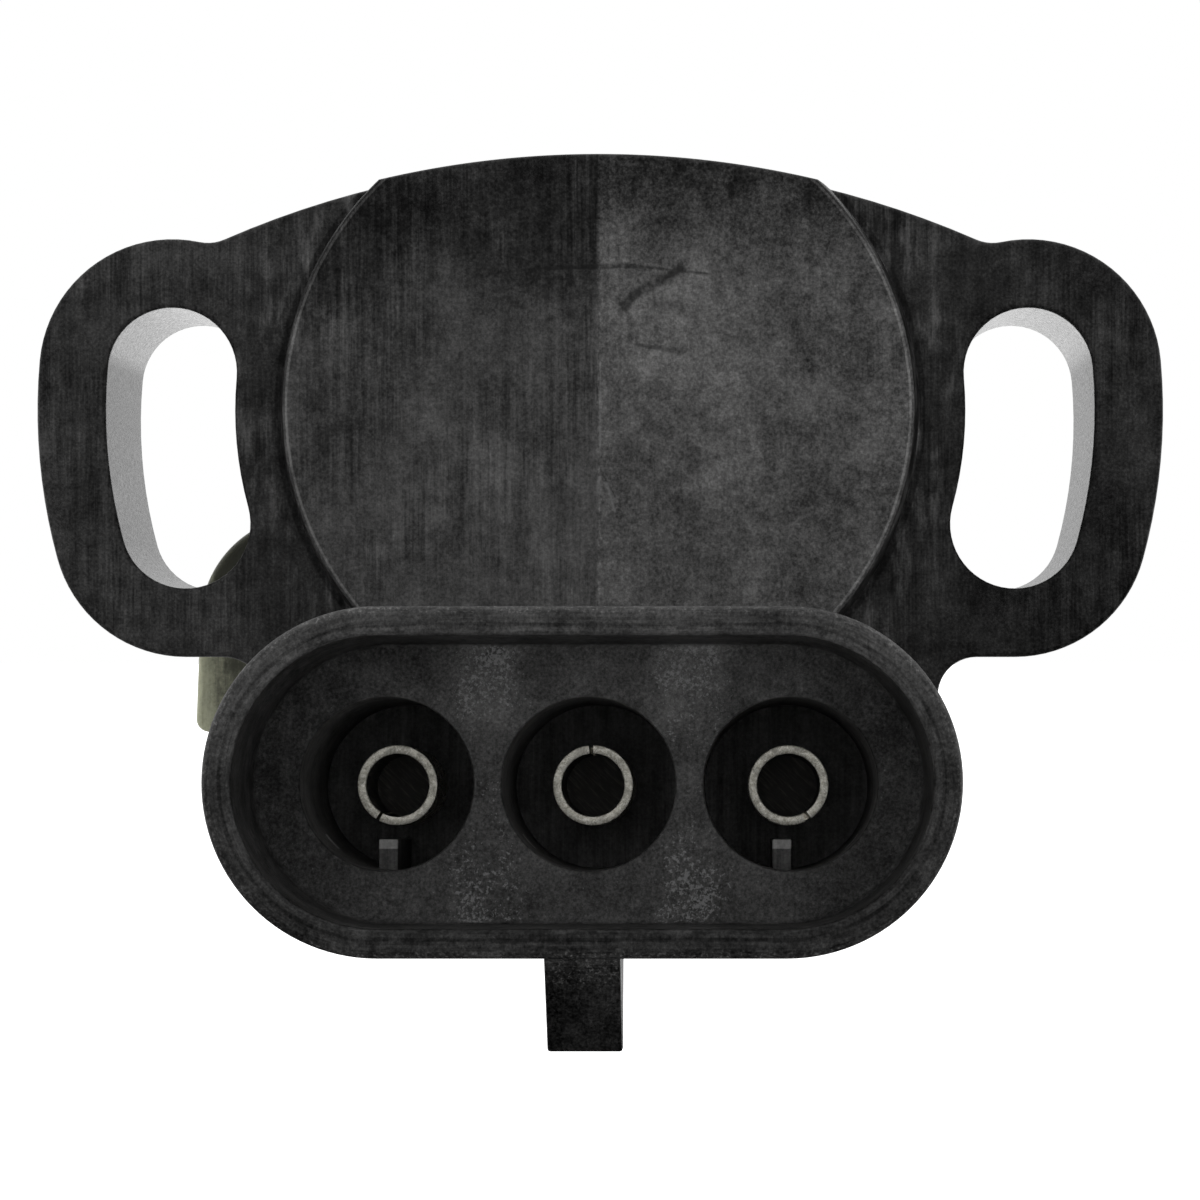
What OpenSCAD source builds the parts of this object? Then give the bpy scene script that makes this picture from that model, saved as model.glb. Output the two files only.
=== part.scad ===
// Throttle position sensor: slotted ears, a three way connector shell and a spring returned lever.
// The rotor turns about the Y axis. The mounting face is at y = 0, the connector points to minus Y
// and Z is up.

/* [Mounting ears] */
// Thickness of the ears and of the plate between them
plate_t = 9; // [8:0.1:11]
// Radius of the slots' middle line about the rotor's axis
slot_mid_r = 15.65; // [15.2:0.05:17]
// Width of the slots, for M4 screws
slot_w = 4.7; // [4.3:0.1:5.2]
// Angle of a slot's upper end above the axis
slot_up = 5.1; // [3:0.1:8]
// Angle of a slot's lower end below the axis
slot_down = 15.3; // [12:0.1:18]
// Wall of an ear round its slot
ear_wall = 2.5; // [2:0.1:3.2]
// Radius of the hollow corner between an ear and the top edge
saddle_r = 1.5; // [0.8:0.1:2.5]
// Radius of the hollow corner under an ear
armpit_r = 1.4; // [0.8:0.1:2.2]

/* [Housing] */
// Height of the top edge above the rotor's axis
top_peak = 9.1; // [8.6:0.1:10.5]
// Radius of the top edge
top_r = 34.2; // [30:0.1:40]
// Width of the body below the ears
body_w = 24.6; // [24:0.1:25.4]
// Radius of the body's lower corners
body_corner_r = 4.6; // [3.8:0.1:5]
// Radius of the raised round face
face_r = 11.35; // [11:0.05:12]
// How much wider the raised face is at its foot
face_draft = 0.25; // [0.15:0.05:0.6]
// Height of the raised face over the plate
face_rise = 2.15; // [1.6:0.05:2.8]
// Wall of the round chamber and its floor
wall = 1.35; // [1:0.05:1.6]
// Wall between the chamber and the top edge
top_wall = 2; // [1.8:0.1:2.2]

/* [Connector] */
// Height of the connector's middle from the rotor's axis
conn_z = -12.8; // [-13.6:0.1:-12.6]
// Width of the connector shell
conn_w = 24.2; // [23.4:0.1:25]
// Height of the connector shell
conn_h = 11.2; // [10.6:0.1:12]
// Length of the connector in front of the plate
conn_len = 18.7; // [17:0.1:21]
// How far the connector's axis leans up towards its mouth
conn_tilt = 2.8; // [0:0.1:4]
// Wall of the shell at its mouth
shell_wall = 0.95; // [0.8:0.05:1.2]
// Rounding of the mouth's outer edge
lip_r = 0.35; // [0.2:0.05:0.45]
// Depth of the recess that takes the mating seal
seal_depth = 6.3; // [6:0.1:7.5]
// Distance between the terminals
pitch = 6.72; // [6.5:0.02:7]
// Diameter of the round cavities
cavity_d = 5.79; // [5.5:0.01:6]
// Depth of the round cavities below the recess's floor
cavity_depth = 9.6; // [8.4:0.1:9.8]

/* [Lock ramp] */
// Width of the ramp
ramp_w = 2.44; // [1.8:0.02:3.2]
// Height of the ramp under the shell
ramp_h = 3.1; // [2.4:0.05:4]
// Distance from the mouth to the ramp's foot
ramp_start = 0.5; // [0.3:0.1:1.5]
// Length of the sloping side
ramp_slope = 2.8; // [2:0.1:3.6]
// Length of the flat top
ramp_flat = 0.9; // [0.6:0.1:1.4]
// How much the back side leans
ramp_back = 0.4; // [0.1:0.1:0.8]

/* [Terminals] */
// Diameter of the tubular pins
pin_d = 2.76; // [2.6:0.02:3]
// Sheet that the pins are rolled from
pin_wall = 0.3; // [0.25:0.01:0.4]
// Width of the pins' seam
pin_seam = 0.25; // [0.15:0.01:0.4]
// Distance from the recess's floor down to the pins' ends
pin_recess = 4.5; // [3.4:0.1:5]
// Width of the terminals' tails
tail_w = 1.6; // [1.2:0.1:2]
// Thickness of the tails
tail_t = 0.5; // [0.4:0.05:0.6]

/* [Element] */
// Thickness of the element board
board_t = 0.8; // [0.6:0.05:1]
// Thickness of the printed tracks
print_t = 0.1; // [0.06:0.01:0.14]
// Radius of the rivets' shanks
rivet_r = 0.45; // [0.35:0.01:0.55]

/* [Rotor and lever] */
// Diameter of the shaft
shaft_d = 5; // [4.6:0.1:5.4]
// Radius of the rotor's drum
drum_r = 6.6; // [6.4:0.05:6.7]
// Thickness of the rotor's drum
drum_t = 2; // [1.6:0.05:2.2]
// Diameter of the pivot post in the chamber
post_d = 3.2; // [2.8:0.1:3.4]
// Angle that the rotor turns between its stops
travel = 90; // [60:1:95]
// Direction of the lever at rest, from plus X towards plus Z
lever_dir = 216; // [205:1:225]
// Distance of the lever's arm behind the mounting face
lever_gap = 2.3; // [2.1:0.1:3]
// Thickness of the lever's arm
lever_t = 2.6; // [2:0.1:3.2]
// Radius of the lever's hub
hub_r = 4.6; // [4.2:0.1:5]
// Radius of the lever's tip from the axis
lever_reach = 19.9; // [17:0.1:21]
// Diameter of the spring's wire
wire_d = 0.6; // [0.5:0.02:0.64]
// Turns of the spring
spring_turns = 4.25; // [3.25:1:5.25]

/* [Cover] */
// Thickness of the back cover
cover_t = 1.6; // [1.3:0.05:1.9]
// Thickness of the gasket under the cover
gasket_t = 0.3; // [0.2:0.05:0.4]
// How deep the cover lies below the mounting face
cover_recess = 0.3; // [0.1:0.05:0.6]
// Width of the ledge that carries the cover
ledge = 0.9; // [0.7:0.05:1]

/* [Clearances] */
// Radial clearance of the shaft and the pivot post
running_gap = 0.06; // [0.04:0.01:0.09]
// Clearance of pieces that are assembled and stay put
seat_gap = 0.03; // [0.02:0.01:0.06]
// Clearance of the cover and the board in the housing
loose_gap = 0.1; // [0.05:0.01:0.2]
// Distance between moving and fixed pieces inside
moving_gap = 0.3; // [0.2:0.01:0.4]
// Distance of the wiper's tips from the tracks
wiper_gap = 0.05; // [0.02:0.01:0.1]

/* [Hidden] */
$fn = 96;
// Ears, body and raised face
slot_r = slot_w / 2;
ear_r = slot_r + ear_wall;
top_z = top_peak - top_r;
top_c = [0, top_z];
ear_high = slot_mid_r * [cos(slot_up), sin(slot_up)];
ear_low = slot_mid_r * [cos(slot_down), -sin(slot_down)];
face_y = -(plate_t + face_rise);
floor_y = face_y + wall;
chamber_r = face_r - wall;
blend = 0.01;
armpit_bite = 0.5;

// Connector shell, its cavities and the bay behind them
shell_r = conn_h / 2;
core_half = conn_w / 2 - shell_r;
shell_bottom = conn_z - shell_r;
mouth_y = -(plate_t + conn_len);
root_sink = 0.5;
body_bottom = shell_bottom - (conn_len + 2 * root_sink) * tan(conn_tilt);
collar_y = face_y + 0.15;
seal_floor_y = mouth_y + seal_depth;
cavity_floor_y = seal_floor_y + cavity_depth;
pin_end_y = seal_floor_y + pin_recess;
tail_z = conn_z - (cavity_floor_y - mouth_y) * tan(conn_tilt);
floor_fillet = 0.3;
rib_w = 0.66;
rib_from_axis = 2.25;
rib_shift = -0.24;
rib_y = mouth_y + 10;
rib_sink = 0.3;
bay_w = 2 * (pitch + tail_w + loose_gap);
bay_bottom = conn_z - 3.4;
bay_top = -chamber_r / 2;
bay_corner_r = 0.8;

// Board, rivets and printed tracks
board_y = floor_y + board_t;
print_y = board_y + print_t;
board_hole_r = 3.2;
rivet_up = 2.8;
rivet_z = conn_z + rivet_up;
rivet_hole_r = rivet_r + seat_gap;
rivet_head_r = 2 * rivet_r;
rivet_head_t = 0.3;
board_edge = 1.3;
board_bottom = rivet_z - board_edge;
pad_r = 0.95;
tail_top = rivet_z + 1;
terminals = [-1, 0, 1];
seam_dirs = [240, 90, 300];
carbon_in = 7.2;
carbon_out = 9;
silver_in = 4.9;
silver_out = 6.6;
lead_gap = 0.12;
lead_in = carbon_out + lead_gap;
side_lead_w = 0.48;
lead_out = lead_in + side_lead_w;
lead_w = 0.8;
drop_lead_w = 0.6;
drop_lead_up = 0.2;
lead_top = -carbon_in - 0.3;
lead_from = -45;
contact_dir = 4;
track_ends = [30, 24];
silver_extra = 30;

// Cover, gasket and bearing
ledge_y = -(cover_recess + cover_t + gasket_t);
cover_y = ledge_y + gasket_t;
cover_back = -cover_recess;
root_y = (cover_y + cover_back) / 2;
bearing_len = 1.4;
bearing_y = ledge_y - bearing_len;
bearing_r = 3.9;

// Rotor, wiper and stops
shaft_r = shaft_d / 2;
post_r = post_d / 2;
wiper_t = 0.2;
finger_drop = 0.65;
drum_y = print_y + wiper_gap + finger_drop + wiper_t;
drum_back = drum_y + drum_t;
nose_r = 2.6;
nose_y = print_y + moving_gap;
pivot_y = drum_back - moving_gap;
washer_t = 0.3;
shoulder_y = bearing_y - washer_t - 2 * loose_gap;
spring_hub_r = 3.4;
sector_r = 8.7;
sector_half = 12;
wiper_dir = 300;
carbon_from = wiper_dir - 360 - track_ends[0];
carbon_to = carbon_from + travel + track_ends[1];
wiper_in = silver_in - 0.3;
wiper_out = carbon_out - 0.5;
wiper_half = 1.2;
finger_w = 0.4;
finger_at = [silver_in + 0.1, silver_in + 0.7, carbon_in + 0.2, carbon_in + 0.8];
finger_reach = 1.7;
finger_bend = 0.1;
finger_root = 0.2;
tip_rise = 0.15;
tip_len = 0.25;
stake_at = [wiper_in + 0.8, wiper_out - 0.6];
stake_r = 0.4;
stake_head_r = 0.65;
stake_head_t = 0.2;
sector_root = 1;
stop_in = drum_r + 0.2;
stop_out = 8;
stop_width = 9;
stop_step = sector_half + stop_width / 2 + 0.4;
stop_tip_y = drum_y + 0.7;

// Return spring and its two pegs
coil_r = bearing_r + moving_gap + wire_d / 2;
coil_front = drum_back + moving_gap + wire_d / 2;
coil_back = cover_y - moving_gap - wire_d / 2;
leg_len = 1.7;
leg_turn = 18;
rings_per_turn = 18;
moving_leg_dir = 100;
peg_r = 0.5;
peg_at_r = coil_r + leg_len - peg_r - loose_gap;
peg_step = asin((peg_r + wire_d / 2 + wiper_gap) / peg_at_r);
fixed_leg_dir = moving_leg_dir - 2 * leg_turn - 360 * spring_turns;

// Shaft seal, lever and its retainer
seal_w = 0.9;
seal_pocket_y = cover_back - seal_w - loose_gap;
seal_mid_r = shaft_r + seal_w / 2 + wiper_gap;
hub_y = loose_gap;
arm_back = lever_gap + lever_t;
upper_corner_r = 4;
lower_corner_r = 1.3;
lower_corner = [lever_reach - lower_corner_r, -0.1];
upper_corner = [lower_corner[0] - 4.5, -0.7];
blade_root_r = hub_r - 0.4;
retainer_t = 0.4;
retainer_r = hub_r - 0.5;
slit_end_r = shaft_r + 0.8;
slit_w = 0.4;
shaft_end_y = arm_back + retainer_t + 0.5;
flat_at = 0.76 * shaft_r;
flat_y = hub_y - loose_gap;

// A flat shape drawn in x and z, made solid from y_front to y_back
module slab(y_front, y_back)
    translate([0, y_back, 0]) rotate([90, 0, 0]) linear_extrude(height = y_back - y_front)
        children();

// A round rod along Y
module rod(r, y_front, y_back, x = 0, z = 0)
    translate([x, y_back, z]) rotate([90, 0, 0]) cylinder(r = r, h = y_back - y_front);

// A flat ring from r[0] to r[1], between two directions less than 180 degrees apart
module arc_band(r, from, to) {
    far = 3 * r[1];
    mid = (from + to) / 2;
    intersection() {
        difference() {
            circle(r[1]);
            circle(r[0]);
        }
        polygon([[0, 0], far * [cos(from), sin(from)], far * [cos(mid), sin(mid)],
            far * [cos(to), sin(to)]]);
    }
}

// The right hand slot, or the ear's outline round it, as wide as 2 * half. The ends are a hair
// narrower, so that they cross the band and don't just touch its edges.
module kidney(half) {
    arc_band([slot_mid_r - half, slot_mid_r + half], -slot_down, slot_up);
    for (a = [-slot_down, slot_up]) rotate(a) translate([slot_mid_r, 0]) circle(half - blend);
}

// The children and their mirror image on the left
module both_sides() {
    children();
    mirror([1, 0]) children();
}

// A flat box about the z axis with round corners
module round_rect(w, low, high, r) {
    translate([-w / 2 + r, low]) square([w - 2 * r, high - low]);
    translate([-w / 2, low + r]) square([w, high - low - 2 * r]);
    for (x = [-1, 1], z = [low + r, high - r]) translate([x * (w / 2 - r), z]) circle(r);
}

// Leans the connector about the middle of its mouth
module tilted() translate([0, mouth_y, conn_z]) rotate([-conn_tilt, 0, 0])
    translate([0, -mouth_y, -conn_z]) children();

// The connector's oval
module stadium(r) {
    square([2 * core_half, 2 * r], center = true);
    for (x = [-core_half, core_half]) translate([x, 0]) circle(r);
}

// A straight printed or moulded bar between two points of the x and z plane
module bar(from, to, w)
    translate(from) rotate(atan2(to[1] - from[1], to[0] - from[0]))
        translate([0, -w / 2]) square([norm(to - from), w]);

// Middle of the hollow corner between the top edge and the upper end of an ear, clear of both
function saddle_centre() =
    let (a = top_r + saddle_r, b = ear_r + saddle_r, d = norm(ear_high - top_c),
        along = (a * a - b * b + d * d) / (2 * d), dir = (ear_high - top_c) / d)
    top_c + along * dir + sqrt(a * a - along * along) * [-dir[1], dir[0]];

// Filling between the two, which the hollow is cut from
module saddle_fill() {
    c = saddle_centre();
    polygon([[slot_mid_r - ear_r, 0], ear_high,
        ear_high + (c - ear_high) * ear_r / (ear_r + saddle_r), c,
        top_c + (c - top_c) * top_r / (top_r + saddle_r)]);
}

// Hollow corner between an ear's lower edge and the side of the body
module armpit(low) translate([body_w / 2, low - armpit_r]) difference() {
    translate([-armpit_bite, 0]) square(armpit_r + armpit_bite);
    translate([armpit_r, 0]) circle(armpit_r);
}

// Plate with the ears, their slots and the lower body
module body_outline() difference() {
    low = ear_low[1] - ear_r;
    union() {
        intersection() {
            translate(top_c) circle(top_r);
            translate([-ear_low[0], low]) square([2 * ear_low[0], top_peak + 1 - low]);
        }
        both_sides() {
            kidney(ear_r);
            saddle_fill();
            armpit(low);
        }
        round_rect(body_w, body_bottom, 0, body_corner_r);
    }
    both_sides() {
        translate(saddle_centre()) circle(saddle_r - blend);
        kidney(slot_r);
    }
}

// The chamber's outline grown by d, round above and square below
module chamber_outline(d = 0) {
    intersection() {
        circle(chamber_r + d);
        translate([0, top_z]) circle(top_r - top_wall + d);
    }
    round_rect(bay_w + 2 * d, bay_bottom - d, bay_top, bay_corner_r + d);
}

// The raised face is cut off by the top edge as the plate is
module raised_face() intersection() {
    translate([0, -plate_t, 0]) rotate([90, 0, 0])
        cylinder(r1 = face_r + face_draft, r2 = face_r, h = face_rise);
    slab(face_y - 1, 0) translate([0, top_z]) circle(top_r);
}

// Wall of the shell as seen in a cut: x is the distance from the core line, y is along the shell
module lip_profile() {
    inner = shell_r - shell_wall;
    difference() {
        union() {
            translate([inner, mouth_y + lip_r]) square([shell_wall, seal_depth - lip_r]);
            translate([inner, mouth_y]) square([shell_wall - lip_r, lip_r]);
            translate([shell_r - lip_r, mouth_y + lip_r]) circle(lip_r);
            translate([inner - floor_fillet, seal_floor_y - floor_fillet]) square(floor_fillet);
        }
        translate([inner - floor_fillet, seal_floor_y - floor_fillet]) circle(floor_fillet);
    }
}

// The profile run round the connector: two straights and two half turns
module shell_wall_ring() translate([0, 0, conn_z]) for (s = [1, -1]) {
    translate([s * core_half, 0, 0]) rotate([0, -s * 90, 0])
        linear_extrude(height = 2 * core_half) lip_profile();
    translate([s * core_half, 0, 0]) rotate([-90, 0, 0]) rotate([0, 0, -s * 90])
        rotate_extrude(angle = 180) lip_profile();
}

// Wedge that the plug's latch snaps over
module ramp() translate([-ramp_w / 2, 0, 0]) rotate([90, 0, 90]) linear_extrude(height = ramp_w) {
    foot = mouth_y + ramp_start;
    flat_end = foot + ramp_slope + ramp_flat;
    tip = shell_bottom - ramp_h;
    root = shell_bottom + shell_wall / 2;
    polygon([[foot, root], [foot, shell_bottom], [foot + ramp_slope, tip], [flat_end, tip],
        [flat_end + ramp_back, shell_bottom], [flat_end + ramp_back, root]]);
}

// Round cavity of a terminal. The outer two keep a low rib at their bottom.
module cavity(t) difference() {
    rod(cavity_d / 2, seal_floor_y - 1, cavity_floor_y, t * pitch, conn_z);
    if (t != 0)
        translate([t * pitch + rib_shift - rib_w / 2, rib_y, conn_z - cavity_d / 2 - rib_sink])
            cube([rib_w, cavity_floor_y + rib_sink - rib_y, cavity_d / 2 + rib_sink - rib_from_axis]);
}

// Post that the rotor's blind bore turns on
module pivot_post() rod(post_r, floor_y, pivot_y - loose_gap);

module housing() color([0.13, 0.13, 0.12]) difference() {
    union() {
        slab(-plate_t, 0) body_outline();
        raised_face();
        slab(collar_y, root_sink - plate_t) translate([0, conn_z]) stadium(shell_r);
        tilted() {
            slab(seal_floor_y, root_sink - plate_t) translate([0, conn_z]) stadium(shell_r);
            shell_wall_ring();
            ramp();
        }
        pivot_post();
    }
    difference() {
        slab(floor_y, 1) chamber_outline();
        pivot_post();
    }
    slab(ledge_y, 1) chamber_outline(ledge);
    for (t = terminals) {
        tilted() cavity(t);
        rod(rivet_head_r + 2 * loose_gap, floor_y - rivet_head_t - loose_gap, floor_y + 1,
            t * pitch, rivet_z);
        tail_hole(t, cavity_floor_y - 1, floor_y + 1);
    }
}

// Slit that a terminal's tail is pushed through
module tail_hole(t, from, to)
    translate([t * pitch - tail_w / 2 - seat_gap, from, tail_z - tail_t / 2 - seat_gap])
        cube([tail_w + 2 * seat_gap, to - from, tail_t + 2 * seat_gap]);

// Rolled pin, its closed root and the tail that is bent up to the element
module terminal(t) color([0.72, 0.69, 0.62]) translate([t * pitch, 0, 0]) difference() {
    union() {
        tilted() difference() {
            rod(pin_d / 2, pin_end_y, cavity_floor_y, 0, conn_z);
            rod(pin_d / 2 - pin_wall, pin_end_y - 1, cavity_floor_y - tail_t, 0, conn_z);
            translate([0, 0, conn_z]) rotate([0, -seam_dirs[t + 1], 0])
                translate([0, pin_end_y - 1, -pin_seam / 2])
                    cube([pin_d, cavity_floor_y - tail_t - pin_end_y + 1, pin_seam]);
        }
        translate([-tail_w / 2, cavity_floor_y - tail_t / 2, tail_z - tail_t / 2])
            cube([tail_w, print_y - cavity_floor_y + 1.5 * tail_t, tail_t]);
        translate([-tail_w / 2, print_y, tail_z - tail_t / 2])
            cube([tail_w, tail_t, tail_top - tail_z + tail_t / 2]);
    }
    rod(rivet_hole_r, print_y - 1, print_y + tail_t + 1, 0, rivet_z);
}

// One rivet for each tail, through the board
module terminal_rivets() color([0.7, 0.68, 0.6]) for (t = terminals) {
    rod(rivet_r, floor_y - rivet_head_t, print_y + tail_t + rivet_head_t, t * pitch, rivet_z);
    rod(rivet_head_r, floor_y - rivet_head_t, floor_y, t * pitch, rivet_z);
    rod(rivet_head_r, print_y + tail_t, print_y + tail_t + rivet_head_t, t * pitch, rivet_z);
}

// Resin poured round the tails where they leave the floor of the bay
module terminal_seal() color([0.2, 0.17, 0.12]) difference() {
    slab(floor_y, board_y)
        round_rect(bay_w - 2 * seat_gap, bay_bottom + seat_gap, board_bottom - seat_gap, bay_corner_r);
    for (t = terminals) tail_hole(t, floor_y - 1, board_y + 1);
}

module rivet_hole(t) translate([t * pitch, rivet_z]) circle(rivet_hole_r);

// Board that fills the chamber's floor, with holes for the pivot and the rivets
module element_board() color([0.45, 0.33, 0.18]) slab(floor_y, board_y) difference() {
    union() {
        intersection() {
            circle(chamber_r - loose_gap);
            translate(top_c) circle(top_r - top_wall - loose_gap);
            translate([-chamber_r, board_bottom]) square(2 * chamber_r);
        }
        translate([-bay_w / 2 + loose_gap, board_bottom])
            square([bay_w - 2 * loose_gap, bay_top - board_bottom]);
    }
    circle(board_hole_r);
    for (t = terminals) rivet_hole(t);
}

// A printed shape on the board
module print_layer() slab(board_y, print_y) children();

module pad(t) difference() {
    translate([t * pitch, rivet_z]) circle(pad_r);
    rivet_hole(t);
}

// Carbon arc, longer at both ends than the wiper's travel
module resistive_track() color([0.08, 0.08, 0.08])
    print_layer() arc_band([carbon_in, carbon_out], carbon_from, carbon_to);

// Silver arc for the second pair of fingers, led round to the left pad
module collector_track() color([0.7, 0.7, 0.66]) print_layer() {
    end_dir = carbon_from - silver_extra;
    mid_r = (silver_in + silver_out) / 2;
    arc_band([silver_in, silver_out], end_dir, carbon_to);
    difference() {
        bar(mid_r * [cos(end_dir), sin(end_dir)], [-pitch, rivet_z], lead_w);
        rivet_hole(-1);
    }
    pad(-1);
}

// One lead drops to the centre pad, the other runs round the outside to the right pad
module track_leads() color([0.7, 0.7, 0.66]) print_layer() {
    arc_band([carbon_in, carbon_out], carbon_from - contact_dir, carbon_from);
    difference() {
        translate([-lead_w / 2, rivet_z]) square([lead_w, lead_top - rivet_z]);
        rivet_hole(0);
        circle(carbon_in);
        polygon([[0, 0], 2 * chamber_r * [cos(carbon_from), sin(carbon_from)], [2 * chamber_r, 0]]);
    }
    pad(0);
    arc_band([carbon_in, lead_out], carbon_to, carbon_to + contact_dir);
    arc_band([lead_in, lead_out], lead_from, carbon_to + contact_dir / 2);
    difference() {
        bar((lead_in + lead_out) / 2 * [cos(lead_from), sin(lead_from)] + [0, drop_lead_up],
            [pitch, rivet_z], drop_lead_w);
        circle(lead_in);
        rivet_hole(1);
    }
    pad(1);
}

// Places the children on the wiper's radius: x runs outward and z against the turning direction
module at_wiper() rotate([0, -wiper_dir, 0]) children();

// Drum on its pivot, the sector that carries the wiper, the spring's peg and the shaft with its flat
module rotor() color([0.16, 0.16, 0.17]) difference() {
    union() {
        rod(nose_r, nose_y, drum_y);
        rod(drum_r, drum_y, drum_back);
        slab(drum_y, drum_back)
            arc_band([drum_r - sector_root, sector_r], wiper_dir - sector_half,
                wiper_dir + sector_half);
        rod(spring_hub_r, drum_back, shoulder_y);
        rod(shaft_r, shoulder_y, shaft_end_y);
        rotate([0, -(moving_leg_dir - peg_step), 0])
            rod(peg_r, drum_back, coil_front + wire_d, peg_at_r, 0);
        at_wiper() for (u = stake_at) {
            rod(stake_r, drum_y - wiper_t, drum_y, u, 0);
            rod(stake_head_r, drum_y - wiper_t - stake_head_t, drum_y - wiper_t, u, 0);
        }
    }
    rod(post_r + running_gap, nose_y - 1, pivot_y);
    rotate([0, -lever_dir, 0]) translate([flat_at, flat_y, -shaft_r])
        cube([shaft_r, shaft_end_y - flat_y + 1, shaft_d]);
}

// Plate staked to the rotor, with two fingers for each track bent down to it
module wiper() color([0.78, 0.7, 0.45]) at_wiper() {
    low = print_y + wiper_gap;
    base = drum_y - wiper_t;
    end = wiper_half + finger_reach;
    difference() {
        translate([wiper_in, base, -wiper_half])
            cube([wiper_out - wiper_in, wiper_t, 2 * wiper_half]);
        for (u = stake_at) rod(stake_r + seat_gap, base - 1, drum_y + 1, u, 0);
    }
    for (u = finger_at) translate([u, 0, 0]) rotate([90, 0, 90]) linear_extrude(height = finger_w)
        mirror([0, 1]) polygon([[base, wiper_half - finger_root],
            [base + wiper_t, wiper_half - finger_root], [base + wiper_t, wiper_half + finger_bend],
            [low + tip_rise, end - tip_len], [low + 2 * tip_rise, end], [low + tip_rise, end],
            [low, end - tip_len], [base, wiper_half]]);
}

// Washer between the rotor's shoulder and the bearing
module thrust_washer() color([0.75, 0.74, 0.7]) difference() {
    rod(bearing_r, shoulder_y + loose_gap, shoulder_y + loose_gap + washer_t);
    rod(shaft_r + running_gap, shoulder_y, bearing_y);
}

// Tube round a list of points, never along Y, with flat ends
function unit(v) = v / norm(v);
function tube_dir(p, i) = unit(p[min(i + 1, len(p) - 1)] - p[max(i - 1, 0)]);
function tube_ring(p, i, r, sides) =
    let (t = tube_dir(p, i), n = unit(cross(t, [0, 1, 0])), b = cross(t, n))
    [for (k = [0 : sides - 1]) p[i] + r * (cos(360 * k / sides) * n + sin(360 * k / sides) * b)];
module tube(p, r, sides = 8) {
    last = len(p) - 1;
    points = [for (i = [0 : last]) each tube_ring(p, i, r, sides)];
    walls = [for (i = [0 : last - 1], k = [0 : sides - 1])
        let (a = i * sides + k, b = i * sides + (k + 1) % sides) [a, b, b + sides, a + sides]];
    caps = [[for (k = [sides - 1 : -1 : 0]) k], [for (k = [0 : sides - 1]) last * sides + k]];
    polyhedron(points, concat(walls, caps));
}

// A point at radius r in direction a
function polar(r, a, y) = [r * cos(a), y, r * sin(a)];
// A leg as a list of points from its tip to the coil, bent smoothly into the coil's circle
function leg(tip_dir, y, turn) =
    [for (k = [0 : 0.2 : 0.9]) polar(coil_r + leg_len * (1 - k) * (1 - k), tip_dir + turn * k * k * k, y)];

// Torsion spring: a leg against the rotor's peg, the coil and a leg against the cover's peg
module return_spring() color([0.6, 0.6, 0.6]) {
    steps = round(rings_per_turn * spring_turns);
    start = moving_leg_dir - leg_turn;
    turned = [for (i = [0 : steps]) polar(coil_r, start - 360 * spring_turns * i / steps,
        coil_front + (coil_back - coil_front) * i / steps)];
    last_leg = leg(fixed_leg_dir, coil_back, leg_turn);
    path = concat(leg(moving_leg_dir, coil_front, -leg_turn), turned,
        [for (i = [len(last_leg) - 1 : -1 : 0]) last_leg[i]]);
    tube(path, wire_d / 2);
}

// Cover with the shaft's bearing, the two stops of the rotor and the peg of the fixed spring leg
module back_cover() color([0.15, 0.15, 0.15]) difference() {
    union() {
        slab(cover_y, cover_back) chamber_outline(ledge - loose_gap);
        rod(bearing_r, bearing_y, root_y);
        for (a = [wiper_dir - stop_step, wiper_dir + travel + stop_step])
            slab(stop_tip_y, root_y) rotate(a)
                arc_band([stop_in, stop_out], -stop_width / 2, stop_width / 2);
        rotate([0, -(fixed_leg_dir + peg_step), 0])
            rod(peg_r, coil_back - wire_d, root_y, peg_at_r, 0);
    }
    rod(shaft_r + running_gap, bearing_y - 1, cover_back + 1);
    rod(seal_mid_r + seal_w / 2 + seat_gap, seal_pocket_y, cover_back + 1);
}

// Gasket cut to the shape of the ledge
module cover_seal() color([0.3, 0.12, 0.08]) slab(ledge_y, cover_y) difference() {
    chamber_outline(ledge - loose_gap);
    chamber_outline(loose_gap);
}

// Ring seal round the shaft
module shaft_seal() color([0.1, 0.1, 0.1])
    translate([0, seal_pocket_y + seal_w / 2, 0]) rotate([90, 0, 0])
        rotate_extrude() translate([seal_mid_r, 0]) circle(seal_w / 2, $fn = 32);

// Outline of the arm at rest: a broad blade with a large upper and a small lower corner
module lever_outline() rotate(lever_dir) hull() {
    circle(blade_root_r);
    translate(upper_corner) circle(upper_corner_r);
    translate(lower_corner) circle(lower_corner_r);
}

// Hub with a flat-sided hole for the shaft, and the arm behind the mounting face
module lever() color([0.52, 0.53, 0.45]) difference() {
    union() {
        rod(hub_r, hub_y, arm_back);
        slab(lever_gap, arm_back) lever_outline();
    }
    difference() {
        rod(shaft_r + seat_gap, hub_y - 1, arm_back + 1);
        rotate([0, -lever_dir, 0]) translate([flat_at + seat_gap, flat_y - 2, -hub_r])
            cube([hub_r, arm_back + 3, 2 * hub_r]);
    }
}

// Push-on washer with slits between its teeth
module lever_retainer() color([0.55, 0.55, 0.53]) slab(arm_back, arm_back + retainer_t) difference() {
    circle(retainer_r);
    circle(shaft_r + seat_gap);
    for (a = [0 : 60 : 300]) rotate(a) translate([0, -slit_w / 2]) square([slit_end_r, slit_w]);
}

housing();
terminal(-1);  // terminal_left
terminal(0);  // terminal_centre
terminal(1);  // terminal_right
terminal_rivets();
terminal_seal();
element_board();
resistive_track();
collector_track();
track_leads();
rotor();
wiper();
thrust_washer();
return_spring();
back_cover();
cover_seal();
shaft_seal();
lever();
lever_retainer();
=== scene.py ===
import math

import bmesh
import bpy
from mathutils import Matrix, Vector


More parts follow.
